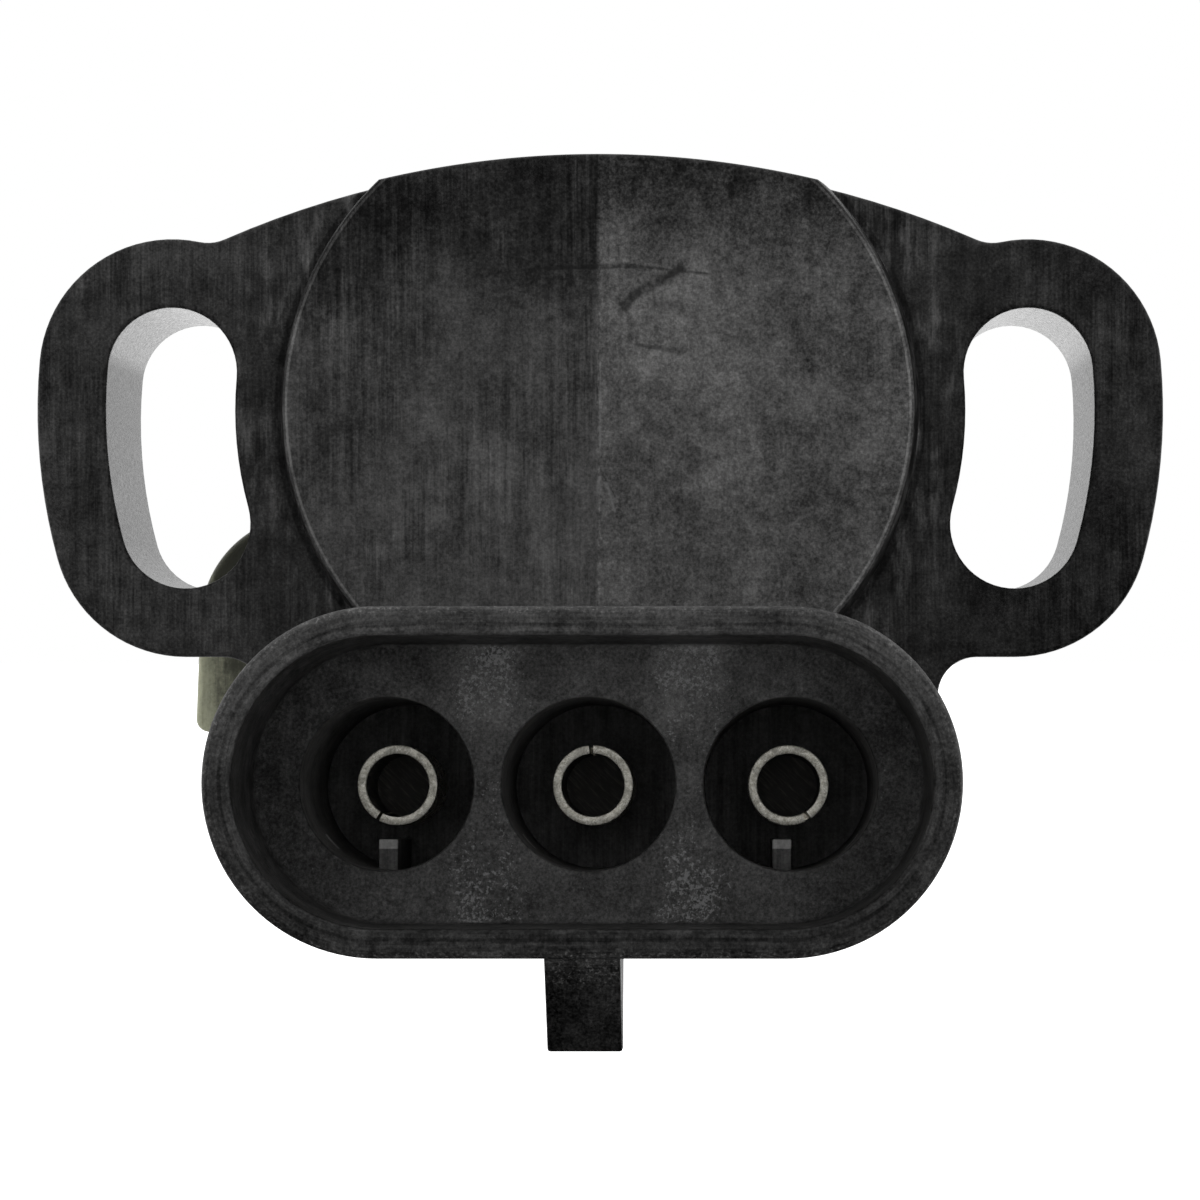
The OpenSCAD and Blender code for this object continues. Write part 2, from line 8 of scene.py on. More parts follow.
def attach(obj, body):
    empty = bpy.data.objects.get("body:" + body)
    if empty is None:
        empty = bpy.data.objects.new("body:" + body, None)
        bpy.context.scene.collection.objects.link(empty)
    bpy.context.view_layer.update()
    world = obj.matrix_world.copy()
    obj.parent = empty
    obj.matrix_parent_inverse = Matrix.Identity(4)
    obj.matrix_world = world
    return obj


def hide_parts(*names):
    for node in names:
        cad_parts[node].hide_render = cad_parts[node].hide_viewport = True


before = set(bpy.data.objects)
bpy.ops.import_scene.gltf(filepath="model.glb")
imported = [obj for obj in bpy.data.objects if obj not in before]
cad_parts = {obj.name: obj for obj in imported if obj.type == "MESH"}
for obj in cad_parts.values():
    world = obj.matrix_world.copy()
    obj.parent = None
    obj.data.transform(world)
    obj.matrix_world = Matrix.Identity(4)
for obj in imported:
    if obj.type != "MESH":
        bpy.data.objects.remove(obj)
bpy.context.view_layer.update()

bl_info = {
    "name": "Throttle position sensor",
    "version": (1, 0, 0),
    "blender": (4, 5, 0),
    "location": "3D View > Sidebar > Sensor",
    "description": "Builds the looks of a rotary throttle position sensor round its packed solids",
    "category": "Object",
}

MM = 0.001

# Sizes of the part's source that the visual pieces repeat, in millimetres
PLATE_FRONT, PLATE_BACK = -9.0, 0.0
TOP_PEAK, TOP_RADIUS = 9.1, 34.192
TOP_CENTRE = (0.0, TOP_PEAK - 34.2)
SLOT_MID, SLOT_HALF = 15.65, 2.35
SLOT_UP, SLOT_DOWN = 5.1, -15.3
EAR_RADIUS = 4.85
SADDLE_RADIUS, ARMPIT_RADIUS = 1.5, 1.4
BODY_WIDTH, BODY_CORNER = 24.6, 4.6
FACE_RADIUS, FACE_DRAFT, FACE_FRONT = 11.35, 0.25, -11.15
CONNECTOR_Z, CORE_HALF, SHELL_RADIUS, SHELL_WALL = -12.8, 6.5, 5.6, 0.95
MOUTH, SEAL_FLOOR, CAVITY_FLOOR = -27.7, -21.4, -11.8
TILT = math.radians(2.8)
SHELL_BOTTOM, COLLAR = CONNECTOR_Z - SHELL_RADIUS, -11.0
BODY_BOTTOM = SHELL_BOTTOM - 19.7 * math.tan(TILT)
PITCH, CAVITY_RADIUS = 6.72, 2.895
RIB_HALF, RIB_SHIFT, RIB_FRONT, RIB_TOP = 0.33, -0.24, -17.7, CONNECTOR_Z - 1.85
PIN_END, PIN_RADIUS, PIN_WALL = -16.9, 1.38, 0.3
TAIL_Z = CONNECTOR_Z - (CAVITY_FLOOR - MOUTH) * math.tan(TILT)
TAIL_WIDTH, TAIL_THICK = 1.6, 0.5
CHAMBER_RADIUS, CHAMBER_FLOOR, CHAMBER_TOP_WALL = 10.0, -9.8, 2.0
BAY_HALF, BAY_BOTTOM, BAY_CORNER = 8.42, -16.2, 0.8
LEDGE, LEDGE_Y = 0.9, -2.2
POST_RADIUS, POST_BACK = 1.6, -6.4
RAMP_WIDTH, RAMP_HEIGHT = 2.44, 3.1
RIVET_Z, RIVET_RADIUS, RIVET_HEAD, RIVET_HEAD_T = -10.0, 0.45, 0.9, 0.3
PRINT_Y = -8.9
HUB_RADIUS, HUB_FRONT, ARM_FRONT, ARM_BACK = 4.6, 0.1, 2.3, 4.9
SHAFT_RADIUS, SHAFT_FLAT, SEAT_GAP = 2.5, 1.9, 0.03
LEVER_ANGLE = 216.0
LEVER_CIRCLES = (((0.0, 0.0), HUB_RADIUS - 0.4), ((-11.82, -7.72), 4.25), ((-15.72, -11.5), 0.5),
                 ((-14.9, -10.9), 1.25))
SPRING_INSIDE, SPRING_FRONT, SPRING_BACK = 4.2, -5.7, -2.2
SPRING_LEG, SPRING_LEG_TURN, SPRING_START = 1.7, 18.0, 100.0


# Outlines


def arc(centre, radius, start, end, fine=0.004):
    """Points of an arc in x and z, from start to end in degrees."""
    step = math.degrees(2 * math.acos(1 - fine / max(radius, 0.05)))
    count = max(3, math.ceil(abs(end - start) / step))
    angles = [math.radians(start + (end - start) * i / count) for i in range(count + 1)]
    return [(centre[0] + radius * math.cos(a), centre[1] + radius * math.sin(a)) for a in angles]


def direction(centre, point):
    return math.degrees(math.atan2(point[1] - centre[1], point[0] - centre[0]))


def tidy_loop(points):
    """The points without those that lie on the one before."""
    kept = []
    for p in points:
        if not kept or math.dist(p, kept[-1]) > 1e-4:
            kept.append(p)
    if math.dist(kept[0], kept[-1]) < 1e-4:
        kept.pop()
    return kept


def mirrored(right):
    """A closed anticlockwise loop from its right half, which runs from the top down."""
    left = [(-x, z) for x, z in reversed(right)]
    return list(reversed(tidy_loop(right + left)))


def on_slot_line(angle):
    a = math.radians(angle)
    return (SLOT_MID * math.cos(a), SLOT_MID * math.sin(a))


def body_loop():
    """Outline of the plate with its ears and the lower body."""
    high, low = on_slot_line(SLOT_UP), on_slot_line(SLOT_DOWN)
    a, b = TOP_RADIUS + SADDLE_RADIUS, EAR_RADIUS + SADDLE_RADIUS
    span = math.dist(high, TOP_CENTRE)
    along = (a * a - b * b + span * span) / (2 * span)
    off = math.sqrt(a * a - along * along)
    ux, uz = (high[0] - TOP_CENTRE[0]) / span, (high[1] - TOP_CENTRE[1]) / span
    saddle = (TOP_CENTRE[0] + along * ux - off * uz, TOP_CENTRE[1] + along * uz + off * ux)
    to_saddle = direction(TOP_CENTRE, saddle)
    from_ear = direction(high, saddle)
    under = low[1] - EAR_RADIUS
    half = BODY_WIDTH / 2
    right = arc(TOP_CENTRE, TOP_RADIUS, 90, to_saddle)
    right += arc(saddle, SADDLE_RADIUS, to_saddle + 180, from_ear + 180)
    right += arc(high, EAR_RADIUS, from_ear, SLOT_UP)
    right += arc((0, 0), SLOT_MID + EAR_RADIUS, SLOT_UP, SLOT_DOWN)
    right += arc(low, EAR_RADIUS, SLOT_DOWN, -90)
    right += arc((half + ARMPIT_RADIUS, under - ARMPIT_RADIUS), ARMPIT_RADIUS, 90, 180)
    corner = (half - BODY_CORNER, BODY_BOTTOM + 0.005 + BODY_CORNER)
    right += arc(corner, BODY_CORNER, 0, -90)
    return mirrored(right)


def slot_loop(side):
    """Outline of a kidney slot, anticlockwise."""
    high, low = on_slot_line(SLOT_UP), on_slot_line(SLOT_DOWN)
    loop = arc((0, 0), SLOT_MID + SLOT_HALF, SLOT_DOWN, SLOT_UP)
    loop += arc(high, SLOT_HALF, SLOT_UP, SLOT_UP + 180)
    loop += arc((0, 0), SLOT_MID - SLOT_HALF, SLOT_UP, SLOT_DOWN)
    loop += arc(low, SLOT_HALF, SLOT_DOWN + 180, SLOT_DOWN + 360)
    loop = tidy_loop(loop)
    return loop if side > 0 else [(-x, z) for x, z in reversed(loop)]


def cut_by_top(radius, top_radius, count=160, top_count=70):
    """A circle about the axis, cut off by an arc that follows the top edge. The counts are fixed, so
    that two such loops can be joined."""
    cx, cz = TOP_CENTRE
    z = (radius ** 2 - top_radius ** 2 + cz ** 2) / (2 * cz)
    x = math.sqrt(radius ** 2 - z ** 2)
    a, b = direction((0, 0), (x, z)), direction((0, 0), (-x, z))
    c, d = direction(TOP_CENTRE, (x, z)), direction(TOP_CENTRE, (-x, z))
    top = [math.radians(c + (d - c) * i / top_count) for i in range(top_count)]
    low = [math.radians(b + (a + 360 - b) * i / count) for i in range(count)]
    loop = [(cx + top_radius * math.cos(t), cz + top_radius * math.sin(t)) for t in top]
    return loop + [(radius * math.cos(t), radius * math.sin(t)) for t in low]


def chamber_loop(grow):
    """The chamber's outline: round above, with the terminals' bay below."""
    radius, half, corner = CHAMBER_RADIUS + grow, BAY_HALF + grow, BAY_CORNER + grow
    top = TOP_RADIUS - CHAMBER_TOP_WALL + grow
    cz = TOP_CENTRE[1]
    z = (radius ** 2 - top ** 2 + cz ** 2) / (2 * cz)
    x = math.sqrt(radius ** 2 - z ** 2)
    bay = math.degrees(math.asin(math.sqrt(radius ** 2 - half ** 2) / radius))
    right = arc(TOP_CENTRE, top, 90, direction(TOP_CENTRE, (x, z)))
    right += arc((0, 0), radius, direction((0, 0), (x, z)), -bay)
    right += arc((half - corner, BAY_BOTTOM - grow + corner), corner, 0, -90)
    return mirrored(right)


def oval_loop(radius, count=56):
    """The connector's oval at a distance from its core line, with a fixed number of points."""
    loop = []
    for side, start in ((1, -90), (-1, 90)):
        for i in range(count + 1):
            a = math.radians(start + 180 * i / count)
            loop.append((side * CORE_HALF + radius * math.cos(a), CONNECTOR_Z + radius * math.sin(a)))
    return loop


def circle_loop(radius, centre=(0.0, 0.0), count=72):
    turns = [math.tau * i / count for i in range(count)]
    return [(centre[0] + radius * math.cos(t), centre[1] + radius * math.sin(t)) for t in turns]


def hull_loop(points):
    """Convex outline round some points, anticlockwise."""
    points = sorted(set((round(x, 5), round(z, 5)) for x, z in points))
    halves = []
    for run in (points, points[::-1]):
        chain = []
        for p in run:
            while len(chain) > 1:
                (ax, az), (bx, bz) = chain[-2], chain[-1]
                if (bx - ax) * (p[1] - az) - (bz - az) * (p[0] - ax) > 0:
                    break
                chain.pop()
            chain.append(p)
        halves += chain[:-1]
    return halves


def moved_in(loop, distance):
    """The loop moved to its left, which is into the material of an anticlockwise loop."""
    count, out = len(loop), []
    for i, p in enumerate(loop):
        before, after = loop[i - 1], loop[(i + 1) % count]
        ax, az = p[0] - before[0], p[1] - before[1]
        bx, bz = after[0] - p[0], after[1] - p[1]
        la, lb = math.hypot(ax, az), math.hypot(bx, bz)
        nx, nz = -(az / la + bz / lb), ax / la + bx / lb
        size = nx * nx + nz * nz
        out.append((p[0] + 2 * distance * nx / size, p[1] + 2 * distance * nz / size))
    return out


# Meshes


def new_object(name, mesh):
    obj = bpy.data.objects.new(name, mesh)
    bpy.context.scene.collection.objects.link(obj)
    return obj


def mesh_of(bm, name):
    bmesh.ops.recalc_face_normals(bm, faces=bm.faces)
    mesh = bpy.data.meshes.new(name)
    bm.to_mesh(mesh)
    bm.free()
    return mesh


def add_ring(bm, loop, y):
    return [bm.verts.new((x * MM, y * MM, z * MM)) for x, z in loop]


def join_rings(bm, a, b):
    for i in range(len(a)):
        j = (i + 1) % len(a)
        bm.faces.new((a[i], a[j], b[j], b[i]))


def cap(bm, rings):
    """Fills the flat area between closed rings of vertices."""
    edges = []
    for ring in rings:
        for i, v in enumerate(ring):
            pair = (v, ring[(i + 1) % len(ring)])
            edges.append(bm.edges.get(pair) or bm.edges.new(pair))
    bmesh.ops.triangle_fill(bm, use_beauty=True, use_dissolve=False, edges=edges)


def edge_steps(radius, count=4):
    """(distance in, distance back) of the steps of a rounded edge, from the face outward."""
    turns = [math.pi / 2 * i / count for i in range(count + 1)]
    return [(radius * (1 - math.sin(t)), radius * (1 - math.cos(t))) for t in turns]


def rounded_slab(bm, outer, holes, front, back, front_round, back_round):
    """A plate between two depths with rounded edges on its outline and on its holes."""
    fronts, backs = [], []
    for loop in [outer] + [list(reversed(h)) for h in holes]:
        levels = [(d, front + y) for d, y in edge_steps(front_round)] if front_round else [(0, front)]
        behind = [(d, back - y) for d, y in reversed(edge_steps(back_round))]
        levels += behind if back_round else [(0, back)]
        rings = [add_ring(bm, moved_in(loop, d) if d else loop, y) for d, y in levels]
        for a, b in zip(rings, rings[1:]):
            join_rings(bm, a, b)
        fronts.append(rings[0])
        backs.append(rings[-1])
    cap(bm, fronts)
    cap(bm, backs)


def stacked(bm, levels):
    """A closed solid from loops with equal point counts, given as (loop, depth)."""
    rings = [add_ring(bm, loop, y) for loop, y in levels]
    for a, b in zip(rings, rings[1:]):
        join_rings(bm, a, b)
    cap(bm, [rings[0]])
    cap(bm, [rings[-1]])


def box(bm, low, high):
    size = [(h - l) * MM for l, h in zip(low, high)]
    middle = Vector([(h + l) / 2 * MM for l, h in zip(low, high)])
    place = Matrix.Translation(middle) @ Matrix.Diagonal((*size, 1))
    return bmesh.ops.create_cube(bm, size=1, matrix=place)["verts"]


def turned(bm, profile, centre=(0.0, 0.0), count=72):
    """A solid turned about an axis along Y, from (radius, depth) points that start and end on it or not."""
    stacked(bm, [(circle_loop(r, centre, count), y) for r, y in profile])


def built(name, make, *args):
    """A tool object for booleans, from one of the functions above."""
    bm = bmesh.new()
    make(bm, *args)
    return new_object(name, mesh_of(bm, name))


def leaning(name, make, *args):
    """As built, but leaned about the middle of the connector's mouth."""
    obj = built(name, make, *args)
    pivot = Matrix.Translation((0, MOUTH * MM, CONNECTOR_Z * MM))
    obj.data.transform(pivot @ Matrix.Rotation(-TILT, 4, "X") @ pivot.inverted())
    return obj


def applied(obj, name=None):
    """The object with its modifiers turned into plain mesh."""
    graph = bpy.context.evaluated_depsgraph_get()
    graph.update()
    mesh = bpy.data.meshes.new_from_object(obj.evaluated_get(graph), depsgraph=graph)
    obj.modifiers.clear()
    obj.data = mesh
    if name:
        obj.name = mesh.name = name
    return obj


def combine(obj, operation, tools):
    """Joins or cuts with the tools, one by one, and removes them."""
    for tool in tools:
        modifier = obj.modifiers.new(tool.name, "BOOLEAN")
        modifier.operation = operation
        modifier.solver = "EXACT"
        modifier.object = tool
    applied(obj)
    for tool in tools:
        bpy.data.objects.remove(tool)
    return obj


def smooth(obj, angle=35.0):
    """Smooth shading that keeps flat faces flat, with sharp edges above the angle."""
    bm = bmesh.new()
    bm.from_mesh(obj.data)
    bmesh.ops.remove_doubles(bm, verts=bm.verts, dist=1e-7)
    bmesh.ops.dissolve_degenerate(bm, edges=bm.edges, dist=1e-7)
    for face in bm.faces:
        face.smooth = True
    limit = math.radians(angle)
    for edge in bm.edges:
        edge.smooth = len(edge.link_faces) == 2 and edge.calc_face_angle(0) < limit
    bm.to_mesh(obj.data)
    bm.free()
    weighted = obj.modifiers.new("even_shading", "WEIGHTED_NORMAL")
    weighted.keep_sharp = True
    weighted.weight = 80
    return applied(obj)


def softened_copy(node, name, width, angle=40.0):
    """A copy of a CAD node, merged and with its sharp edges rounded."""
    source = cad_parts[node]
    bm = bmesh.new()
    bm.from_mesh(source.data)
    bmesh.ops.remove_doubles(bm, verts=bm.verts, dist=1e-7)
    bmesh.ops.dissolve_limit(bm, angle_limit=math.radians(0.6), verts=bm.verts, edges=bm.edges)
    mesh = bpy.data.meshes.new(name)
    bm.to_mesh(mesh)
    bm.free()
    obj = new_object(name, mesh)
    bevel = obj.modifiers.new("edge", "BEVEL")
    bevel.width = width * MM
    bevel.segments = 2
    bevel.limit_method = "ANGLE"
    bevel.angle_limit = math.radians(angle)
    bevel.use_clamp_overlap = True
    applied(obj)
    return smooth(obj, 32)


def finish_piece(obj, material, body, slot, *nodes):
    """Gives a piece its material and its body, and hides the nodes that it stands for. The slot is not used.
    """
    obj.data.materials.clear()
    obj.data.materials.append(material)
    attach(obj, body)
    if nodes:
        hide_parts(*nodes)
    return obj


def dress(node, material):
    """A CAD node keeps its shape and gets a material."""
    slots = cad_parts[node].material_slots
    for s in slots:
        s.material = material
    if not slots:
        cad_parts[node].data.materials.append(material)


# Shader parts


class Value:
    """A number in a node tree that takes the usual signs of sums, differences and products."""

    def __init__(self, tree, socket):
        self.tree, self.socket = tree, socket

    def do(self, operation, *others, clamp=False):
        return Value(self.tree, math_node(self.tree, operation, self, *others, clamp=clamp))

    def __add__(self, other):
        return self.do("ADD", other)

    def __sub__(self, other):
        return self.do("SUBTRACT", other)

    def __mul__(self, other):
        return self.do("MULTIPLY", other)

    def __rsub__(self, other):
        return self.do("MULTIPLY", -1.0).do("ADD", other)

    __radd__, __rmul__ = __add__, __mul__

    def step(self, low, high, to_low=0.0, to_high=1.0):
        """A smooth step from to_low at low to to_high at high."""
        made = node(self.tree, "ShaderNodeMapRange", {"Value": self, "From Min": low, "From Max": high,
                                                      "To Min": to_low, "To Max": to_high})
        made.interpolation_type = "SMOOTHSTEP"
        return Value(self.tree, made.outputs["Result"])

    def band(self, low, high, soft):
        """One between low and high, none outside."""
        return self.step(low - soft, low) * self.step(high + soft, high)

    def size(self):
        return self.do("ABSOLUTE")

    def held(self):
        return self.do("ADD", 0.0, clamp=True)


def plug(tree, socket, value):
    """Gives a socket a value or a link."""
    value = getattr(value, "socket", value)
    if isinstance(value, bpy.types.NodeSocket):
        tree.links.new(value, socket)
    else:
        socket.default_value = value


def node(tree, kind, inputs=None, **settings):
    """A new node with its settings and its inputs, which are values or sockets."""
    made = tree.nodes.new(kind)
    for key, value in settings.items():
        setattr(made, key, value)
    for key, value in (inputs or {}).items():
        plug(tree, made.inputs[key], value)
    return made


def math_node(tree, operation, *values, clamp=False):
    made = tree.nodes.new("ShaderNodeMath")
    made.operation, made.use_clamp = operation, clamp
    for i, value in enumerate(values):
        plug(tree, made.inputs[i], value)
    return made.outputs[0]


def mix_colour(tree, factor, a, b, blend="MIX"):
    made = node(tree, "ShaderNodeMix", data_type="RGBA", blend_type=blend)
    for key, value in ((0, factor), (6, a), (7, b)):
        plug(tree, made.inputs[key], value)
    return made.outputs[2]


def place_of(tree):
    """Object coordinates in millimetres."""
    coords = node(tree, "ShaderNodeTexCoord").outputs["Object"]
    return node(tree, "ShaderNodeMapping", {"Vector": coords, "Scale": (1000, 1000, 1000)}).outputs[0]


def split_place(tree, place):
    outputs = node(tree, "ShaderNodeSeparateXYZ", {0: place}).outputs
    return [Value(tree, socket) for socket in outputs]


def noise(tree, vector, scale, detail=2.0, rough=0.5, distortion=0.0):
    """Noise about zero, mostly between -0.5 and 0.5. The scale is a number or one for each axis."""
    if isinstance(scale, tuple):
        vector = node(tree, "ShaderNodeMapping", {"Vector": vector, "Scale": scale}).outputs[0]
        scale = 1.0
    made = node(tree, "ShaderNodeTexNoise", {"Vector": vector, "Scale": scale, "Detail": detail,
                                             "Roughness": rough, "Distortion": distortion})
    return Value(tree, made.outputs["Fac"]) - 0.5


def new_group(name, inputs, outputs):
    """A shader group with named sockets. Inputs are (name, kind, default)."""
    tree = bpy.data.node_groups.new(name, "ShaderNodeTree")
    for label, kind, default in inputs:
        made = tree.interface.new_socket(label, in_out="INPUT", socket_type=kind)
        made.default_value = default
    for label, kind in outputs:
        tree.interface.new_socket(label, in_out="OUTPUT", socket_type=kind)
    given = tree.nodes.new("NodeGroupInput").outputs
    given = {label: Value(tree, given[label]) for label, kind, default in inputs}
    return tree, given, tree.nodes.new("NodeGroupOutput").inputs


def use_group(tree, group, **values):
    made = tree.nodes.new("ShaderNodeGroup")
    made.node_tree = group
    for key, value in values.items():
        plug(tree, made.inputs[key.replace("_", " ").capitalize()], value)
    return {socket.name: Value(tree, socket) for socket in made.outputs}


def shared(make):
    """The node group of that function, made the first time."""
    return bpy.data.node_groups.get(make.__name__) or make(make.__name__)


def moulded_skin(name):
    """Flow streaks, cloudy patches and fine grain of a glass-filled moulding about a base tone."""
    F, C = "NodeSocketFloat", "NodeSocketColor"
    tree, given, out = new_group(
        name,
        [("Base", F, 0.18), ("Streaks", F, 0.1), ("Clouds", F, 0.08), ("Grain", F, 0.08),
         ("Warm", F, 0.01), ("Gain", F, 1.0)],
        [("Color", C), ("Roughness", F), ("Height", F), ("Tone", F)])
    place = place_of(tree)
    broad = noise(tree, place, (3.1, 1.0, 0.13), 3.0, 0.6)
    fine = noise(tree, place, (12.0, 3.0, 0.5), 2.0, 0.6)
    patch = noise(tree, place, 0.3, 1.0, 0.5).step(-0.16, 0.12, 0.35, 1.3)
    streak = (broad * 0.55 + fine * 0.45) * patch
    cloud = noise(tree, place, 0.5, 4.0, 0.65) * 0.6 + noise(tree, place, 1.9, 2.0, 0.6) * 0.4
    grain = noise(tree, place, 9.0, 2.0, 0.75)
    uneven = streak * given["Streaks"] + cloud * given["Clouds"] + grain * given["Grain"]
    tone = (given["Base"] + uneven * 2).held()
    linear = tone.do("MAXIMUM", 0.01).do("POWER", 2.2) * given["Gain"]
    plug(tree, out["Color"], node(tree, "ShaderNodeCombineXYZ", {
        0: linear * (1 + given["Warm"]), 1: linear, 2: linear * (1 - given["Warm"])}).outputs[0])
    plug(tree, out["Roughness"], 0.47 - streak * 0.3 - cloud * 0.25 - grain * 0.15)
    plug(tree, out["Height"], grain + 0.5)
    plug(tree, out["Tone"], tone)
    return tree


def fibre_specks(name):
    """Short glass fibres that show at the surface as fine pale specks."""
    F = "NodeSocketFloat"
    tree, given, out = new_group(name, [("Amount", F, 0.3), ("Size", F, 9.0)], [("Mask", F)])
    place = place_of(tree)
    size = node(tree, "ShaderNodeVectorMath", {0: place, 3: given["Size"]}, operation="SCALE").outputs[0]
    points = noise(tree, size, 1.0, 2.0, 0.75)
    patch = noise(tree, place, 0.8, 2.0, 0.6)
    over = points + patch * 0.45 + given["Amount"] * 0.34 - 0.36
    plug(tree, out["Mask"], (over * 9.0).held())
    return tree


def drawn_metal(name):
    """Dulled and finely scratched sheet metal."""
    F, C = "NodeSocketFloat", "NodeSocketColor"
    tree, given, out = new_group(
        name, [("Clean", C, (0.7, 0.67, 0.6, 1)), ("Dull", C, (0.3, 0.27, 0.22, 1)), ("Wear", F, 0.5),
               ("Along", F, 1.0)],
        [("Color", C), ("Roughness", F), ("Height", F)])
    place = place_of(tree)
    lines = noise(tree, place, (16.0, 1.2, 16.0), 3.0, 0.6)
    dull = noise(tree, place, 3.2, 4.0, 0.65, 0.6).step(-0.12, 0.16) * given["Wear"]
    plug(tree, out["Color"], mix_colour(tree, dull, given["Clean"], given["Dull"]))
    plug(tree, out["Roughness"], (dull + lines * 0.4).step(-0.1, 1.0, 0.22, 0.55))
    plug(tree, out["Height"], lines * given["Along"])
    return tree


def vector_node(tree, operation, output, *values):
    made = node(tree, "ShaderNodeVectorMath", operation=operation)
    for i, value in enumerate(values):
        plug(tree, made.inputs[i], value)
    return made.outputs[output]


def rub_mark(name):
    """A short rub mark in millimetres, from one point to another, with its own width at each end."""
    F, V = "NodeSocketFloat", "NodeSocketVector"
    sockets = [("Place", V, (0, 0, 0)), ("From", V, (0, 0, 0)), ("To", V, (1, 0, 1)), ("Widen", F, 1.0),
               ("First", F, 0.1), ("Last", F, 0.1), ("Soft", F, 1.0), ("Depth", F, 0.5)]
    tree, given, out = new_group(name, sockets, [("Mask", F)])
    whole = vector_node(tree, "SUBTRACT", "Vector", given["To"], given["From"])
    square = vector_node(tree, "DOT_PRODUCT", "Value", whole, whole)
    unit = vector_node(tree, "SCALE", "Vector", whole)
    plug(tree, unit.node.inputs["Scale"], math_node(tree, "DIVIDE", 1.0, square))
    gone = vector_node(tree, "SUBTRACT", "Vector", given["Place"], given["From"])
    share = Value(tree, vector_node(tree, "DOT_PRODUCT", "Value", gone, unit)).held()
    nearest = vector_node(tree, "SCALE", "Vector", whole)
    plug(tree, nearest.node.inputs["Scale"], share)
    away = Value(tree, vector_node(tree, "DISTANCE", "Value", gone, nearest))
    wide = share.do("MULTIPLY_ADD", given["Last"] - given["First"], given["First"]) * given["Widen"]
    near = away.do("DIVIDE", wide).do("MULTIPLY_ADD", -1.0 * given["Soft"], given["Soft"], clamp=True)
    plug(tree, out["Mask"], near * given["Depth"])
    return tree


def pin_place(tree):
    """Distance from the nearest terminal's leaning axis, and the depth along the connector."""
    x, y, z = split_place(tree, place_of(tree))
    dx = x - (x * (1 / PITCH)).do("ROUND").do("MAXIMUM", -1.0).do("MINIMUM", 1.0) * PITCH
    dz = z - CONNECTOR_Z + (y - MOUTH) * math.tan(TILT)
    return (dx * dx + dz * dz).do("SQRT"), y, dx, dz


def new_material(name, metallic=0.0, specular=0.5):
    material = bpy.data.materials.new(name)
    material.use_nodes = True
    tree = material.node_tree
    shader = tree.nodes["Principled BSDF"]
    shader.inputs["Metallic"].default_value = metallic
    shader.inputs["Specular IOR Level"].default_value = specular
    return material, tree, shader


def bump(tree, shader, height, strength, distance=0.02):
    made = node(tree, "ShaderNodeBump", {"Height": height, "Strength": strength, "Distance": distance * MM})
    plug(tree, shader.inputs["Normal"], made.outputs[0])


def grey(value, warm=0.0):
    return (value * (1 + warm), value, value * (1 - warm), 1.0)


# Rub marks of the round face: start, end, width, softness and depth of tone. A width tapers towards
# its second value.
FACE_MARKS = (
    (-3.9, 4.76, -1.9, 4.98, 0.03, 0.06, 1.6, 0.5), (-1.9, 4.98, 1.3, 5.06, 0.08, 0.11, 1.8, 0.9),
    (1.3, 5.04, 3.9, 4.78, 0.07, 0.04, 1.6, 0.65), (2.93, 4.95, 1.3, 4.02, 0.19, 0.2, 1.5, 0.85),
    (1.3, 4.02, 0.94, 3.55, 0.2, 0.24, 1.5, 0.88), (2.4, 3.66, 2.95, 3.62, 0.4, 0.4, 1.0, 0.45),
    (1.12, 2.5, 1.14, 2.35, 0.16, 0.14, 1.5, 0.55), (1.3, 2.26, 3.0, 1.96, 0.06, 0.11, 1.5, 0.6),
    (1.85, -0.75, 2.1, -0.85, 0.4, 0.3, 1.0, 0.4), (0.85, -1.4, 1.35, -1.5, 0.3, 0.3, 1.0, 0.55),
    (-1.3, -3.3, -1.15, -3.9, 0.6, 0.5, 0.9, 0.4), (2.7, -3.7, 3.3, -3.7, 0.45, 0.4, 0.8, 0.4),
    (0.2, -2.5, 0.62, -3.25, 0.05, 0.03, 1.2, 0.5))
# Pale scratches and chips of the round face, given in the same way
FACE_CHIPS = (
    (0.05, -2.55, 0.02, -3.0, 0.08, 0.12, 1.4, 0.5), (0.3, -2.75, 0.6, -3.75, 0.09, 0.04, 1.4, 0.6),
    (0.08, 1.6, 0.05, -0.4, 0.03, 0.06, 1.4, 0.45), (0.05, -0.7, 0.07, -1.4, 0.07, 0.05, 1.4, 0.7))


def most_of(tree, place, marks):
    """The strongest of some rub marks, with ragged edges and patchy strength."""
    x, y, z = split_place(tree, place)
    ragged = noise(tree, place, 4.0, 2.0, 0.6)
    flat = node(tree, "ShaderNodeCombineXYZ", {0: x + ragged * 0.08, 2: z}).outputs[0]
    widen = ragged * 2.0 + 1.25
    most = None
    for x0, z0, x1, z1, first, last, soft, depth in marks:
        made = use_group(tree, shared(rub_mark), Place=flat, From=(x0, 0, z0), To=(x1, 0, z1), Widen=widen,
                         First=first, Last=last, Soft=soft, Depth=depth)
        most = made["Mask"] if most is None else most.do("MAXIMUM", made["Mask"])
    return most * noise(tree, place, 2.2, 2.0, 0.6).step(-0.25, 0.1, 0.4, 1.0)


